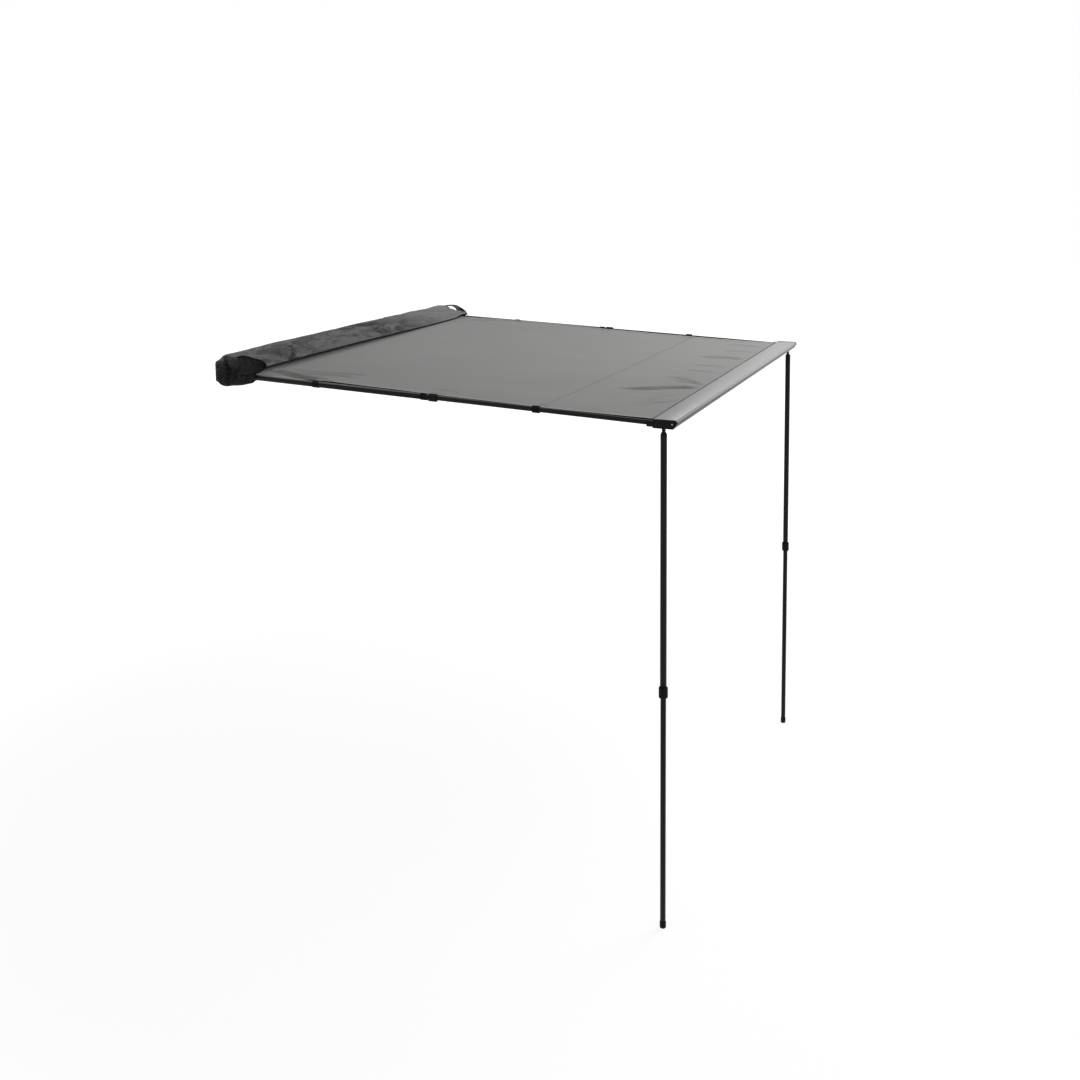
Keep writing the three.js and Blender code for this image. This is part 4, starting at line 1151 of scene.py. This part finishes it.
# %% Stiff band at the far end
# each row: station, then x and z of the inner line and of the outer one
BAND = smooth_line([
    (0.0, 0.030, 0.040, 0.022, 0.048),
    (0.2, 0.062, 0.0465, 0.058, 0.0545),
    (0.4, 0.088, 0.0480, 0.088, 0.0575),
    (0.55, 0.106, 0.0430, 0.122, 0.0560),
    (0.7, 0.122, 0.0280, 0.150, 0.0430),
    (0.85, 0.140, 0.0100, 0.178, 0.0270),
    (1.0, 0.165, -0.006, 0.196, 0.0030),
])
BAND_Y = 1.087
BAND_BELLY = 0.006
SHADE_PATCH_LIFT = 0.0035


def band_point(t, k, lift=0.0):
    inner_x, inner_z, outer_x, outer_z = (float(c) for c in BAND(k))
    bulge = BAND_BELLY * math.sin(math.pi * min(max(t, 0), 1)) + 0.002 * rough_at(t * 2, k * 9, 6)
    x, z = inner_x + (outer_x - inner_x) * t, inner_z + (outer_z - inner_z) * t
    return Vector((x, BAND_Y - bulge * ease(k, 0.4, 0.7) - lift, z))


def far_band():
    mesh = sheet_mesh("bag_end_band", band_point, evenly(0, 1, 14), evenly(0, 1, 70))
    bend(link(mesh, bag_dark, thickness=BAG_CLOTH))

    # painted shade: a dark sheet where the band's rim turns in
    def shade_patch(t, k):
        return band_point(0.78 + 0.34 * (t - 0.5) * math.sin(math.pi * k), 0.66 + 0.22 * k, SHADE_PATCH_LIFT)

    mesh = sheet_mesh("bag_end_painted_shade", shade_patch, evenly(0, 1, 8), evenly(0, 1, 24))
    bend(link(mesh, webbing, thickness=0.001))


far_band()
print("band top", round(max(float(BAND(k)[3]) for k in evenly(0, 1, 20)), 4))

# %% [markdown]
# ## Piping
#
# A black cord stiffens the hood's lip. A curve with a bevel would look the same, but a grid rolled round
# the line just beyond the lip is a plain mesh.

# %% Piping
PIPING = 0.0029
PIPING_OUT = 0.0028


def piping():
    line = []
    for s in evenly(-SHELL_END, SHELL_END, 240):
        lip = hood_point(1, s)
        line.append(lip + (lip - hood_point(0.94, s)).normalized() * PIPING_OUT)
    cord = link(rolled_mesh("bag_edge_cord", line, PIPING, 10), webbing)
    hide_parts("bag_piping")
    bend(cord)
    print("piping length", round(sum((b - a).length for a, b in zip(line, line[1:])), 3))


piping()

# %% [markdown]
# ## Straps round the rafters
#
# Three hook-and-loop straps on each side tie the canopy's hem to the rafter. A strap starts under the
# hem, reaches the tube and runs round it with its end lapped over its start, so its line is a short
# lead and a spiral of a little more than one turn. The sheet along that line is 28 mm wide. The turns
# are wide enough for the outer tube, because a strap travels along the rafter as the bar slides in.

# %% Straps round the rafters
STRAP_HALF = 0.014
STRAP_CLOTH = 0.0013
STRAP_TURN = 0.0136
STRAP_LAP = 0.0011
STRAP_START, STRAP_RUN = 150, 385
STRAP_STEPS = 40
SEWN_IN, HEM_OUT, UNDER_HEM = 0.034, 0.004, 0.0022


def strap(end, number):
    side = SIDES[end]
    x = middle_of(f"strap_{end}_{number}").x
    drop = (x - TILT.x) * math.tan(SLOPE)
    centre = Vector((x, side * RAFTER_Y, TILT.z - drop))
    under = canopy_height(x, side * (CANOPY_HALF - 0.02)) - UNDER_HEM
    hem = Vector((x, side * (CANOPY_HALF - HEM_OUT), under))
    sewn = Vector((x, side * (CANOPY_HALF - SEWN_IN), under - 0.0002))
    spiral = []
    for k in range(STRAP_STEPS + 1):
        turn = math.radians(STRAP_START + STRAP_RUN * k / STRAP_STEPS)
        out = Vector((0, side * math.cos(turn), math.sin(turn)))
        spiral.append(centre + out * (STRAP_TURN + STRAP_LAP * k / STRAP_STEPS))
    line = [sewn, sewn.lerp(hem, 0.5), hem, hem.lerp(spiral[0], 0.5)] + spiral

    def place(k, t):
        spot = line[k].copy()
        spot.x += STRAP_HALF * t
        spot.z -= STRAP_HALF * t * math.sin(SLOPE)
        return spot

    across = [-1, -0.92, -0.5, 0, 0.5, 0.92, 1]
    mesh = sheet_mesh(f"strap_band_{end}_{number}", place, range(len(line)), across)
    band = link(mesh, webbing, thickness=STRAP_CLOTH)
    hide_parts(f"strap_{end}_{number}")
    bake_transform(band)
    return x


for end in SIDES:
    print(end, "straps at", [round(strap(end, number), 3) for number in (1, 2, 3)])

# %% [markdown]
# ## Screws and cap rims
#
# Each end cap of the lead bar is held by a pan-head screw with a socket. A head starts as a short cone
# whose rim is bevelled; the socket is an inset of the top face, pushed in. The cap's plate has a rim
# that laps a little over the extrusion, which covers the saw cut.

# %% Screws and cap rims
SCREW_RADIUS = 0.003
SCREW_HEIGHT = 0.0018
SCREW_BACK, SCREW_DOWN, SCREW_OUT = 0.019, 0.014, 0.0006
RIM_CLOTH = 0.0008


def top_face(bm):
    return max(bm.faces, key=lambda face: (round(face.calc_center_median().z, 6), face.calc_area()))


def screw_mesh(name, place, facing):
    """A screw head at the place, facing along a direction."""
    bm = bmesh.new()
    size = {"radius1": SCREW_RADIUS, "radius2": SCREW_RADIUS * 0.86, "depth": SCREW_HEIGHT}
    bmesh.ops.create_cone(bm, cap_ends=True, segments=24, **size)
    rim = list(top_face(bm).edges)
    bmesh.ops.bevel(bm, geom=rim, offset=SCREW_RADIUS * 0.2, affect="EDGES", segments=3, profile=0.5)
    top = top_face(bm)
    bmesh.ops.inset_region(bm, faces=[top], thickness=SCREW_RADIUS * 0.28)
    bmesh.ops.translate(bm, verts=top.verts, vec=(0, 0, -SCREW_HEIGHT * 0.55))
    turn = Vector(facing).to_track_quat("Z", "Y").to_matrix().to_4x4()
    bmesh.ops.transform(bm, matrix=Matrix.Translation(place) @ turn, verts=bm.verts)
    mesh = bpy.data.meshes.new(name)
    bm.to_mesh(mesh)
    bm.free()
    return mesh


def cap_details(end):
    side = SIDES[end]
    low, high = corners(f"bar_cap_{end}")
    face = high.y if side > 0 else low.y
    place = Vector((high.x - SCREW_BACK, face + side * SCREW_OUT, high.z - SCREW_DOWN))
    mesh = screw_mesh(f"cap_screws_{end}", place, (0, side, 0))
    link(mesh, FINISHES["steel"], body="bar")
    # x and z of the rim, from the cap's inner end over its top and round the nose
    top, nose = high.z + 0.0004, high.x + 0.0004
    rim = [(low.x, top), (nose - 0.0075, top), (nose - 0.007, top - 0.0004), (nose, top - 0.011)]
    rim += [(nose - 0.0002, top - 0.0118), (nose - 0.016, top - 0.034)]
    mesh = sheet_mesh(
        f"cap_rim_{end}",
        lambda k, y: (rim[k][0], y, rim[k][1]),
        range(len(rim)),
        [face - side * d for d in (0, 0.005, 0.0095, 0.01)],
    )
    link(mesh, FINISHES["black_plastic"], body="bar", thickness=RIM_CLOTH)
    return place


for end in SIDES:
    print(end, "cap screw at", [round(c, 3) for c in cap_details(end)])
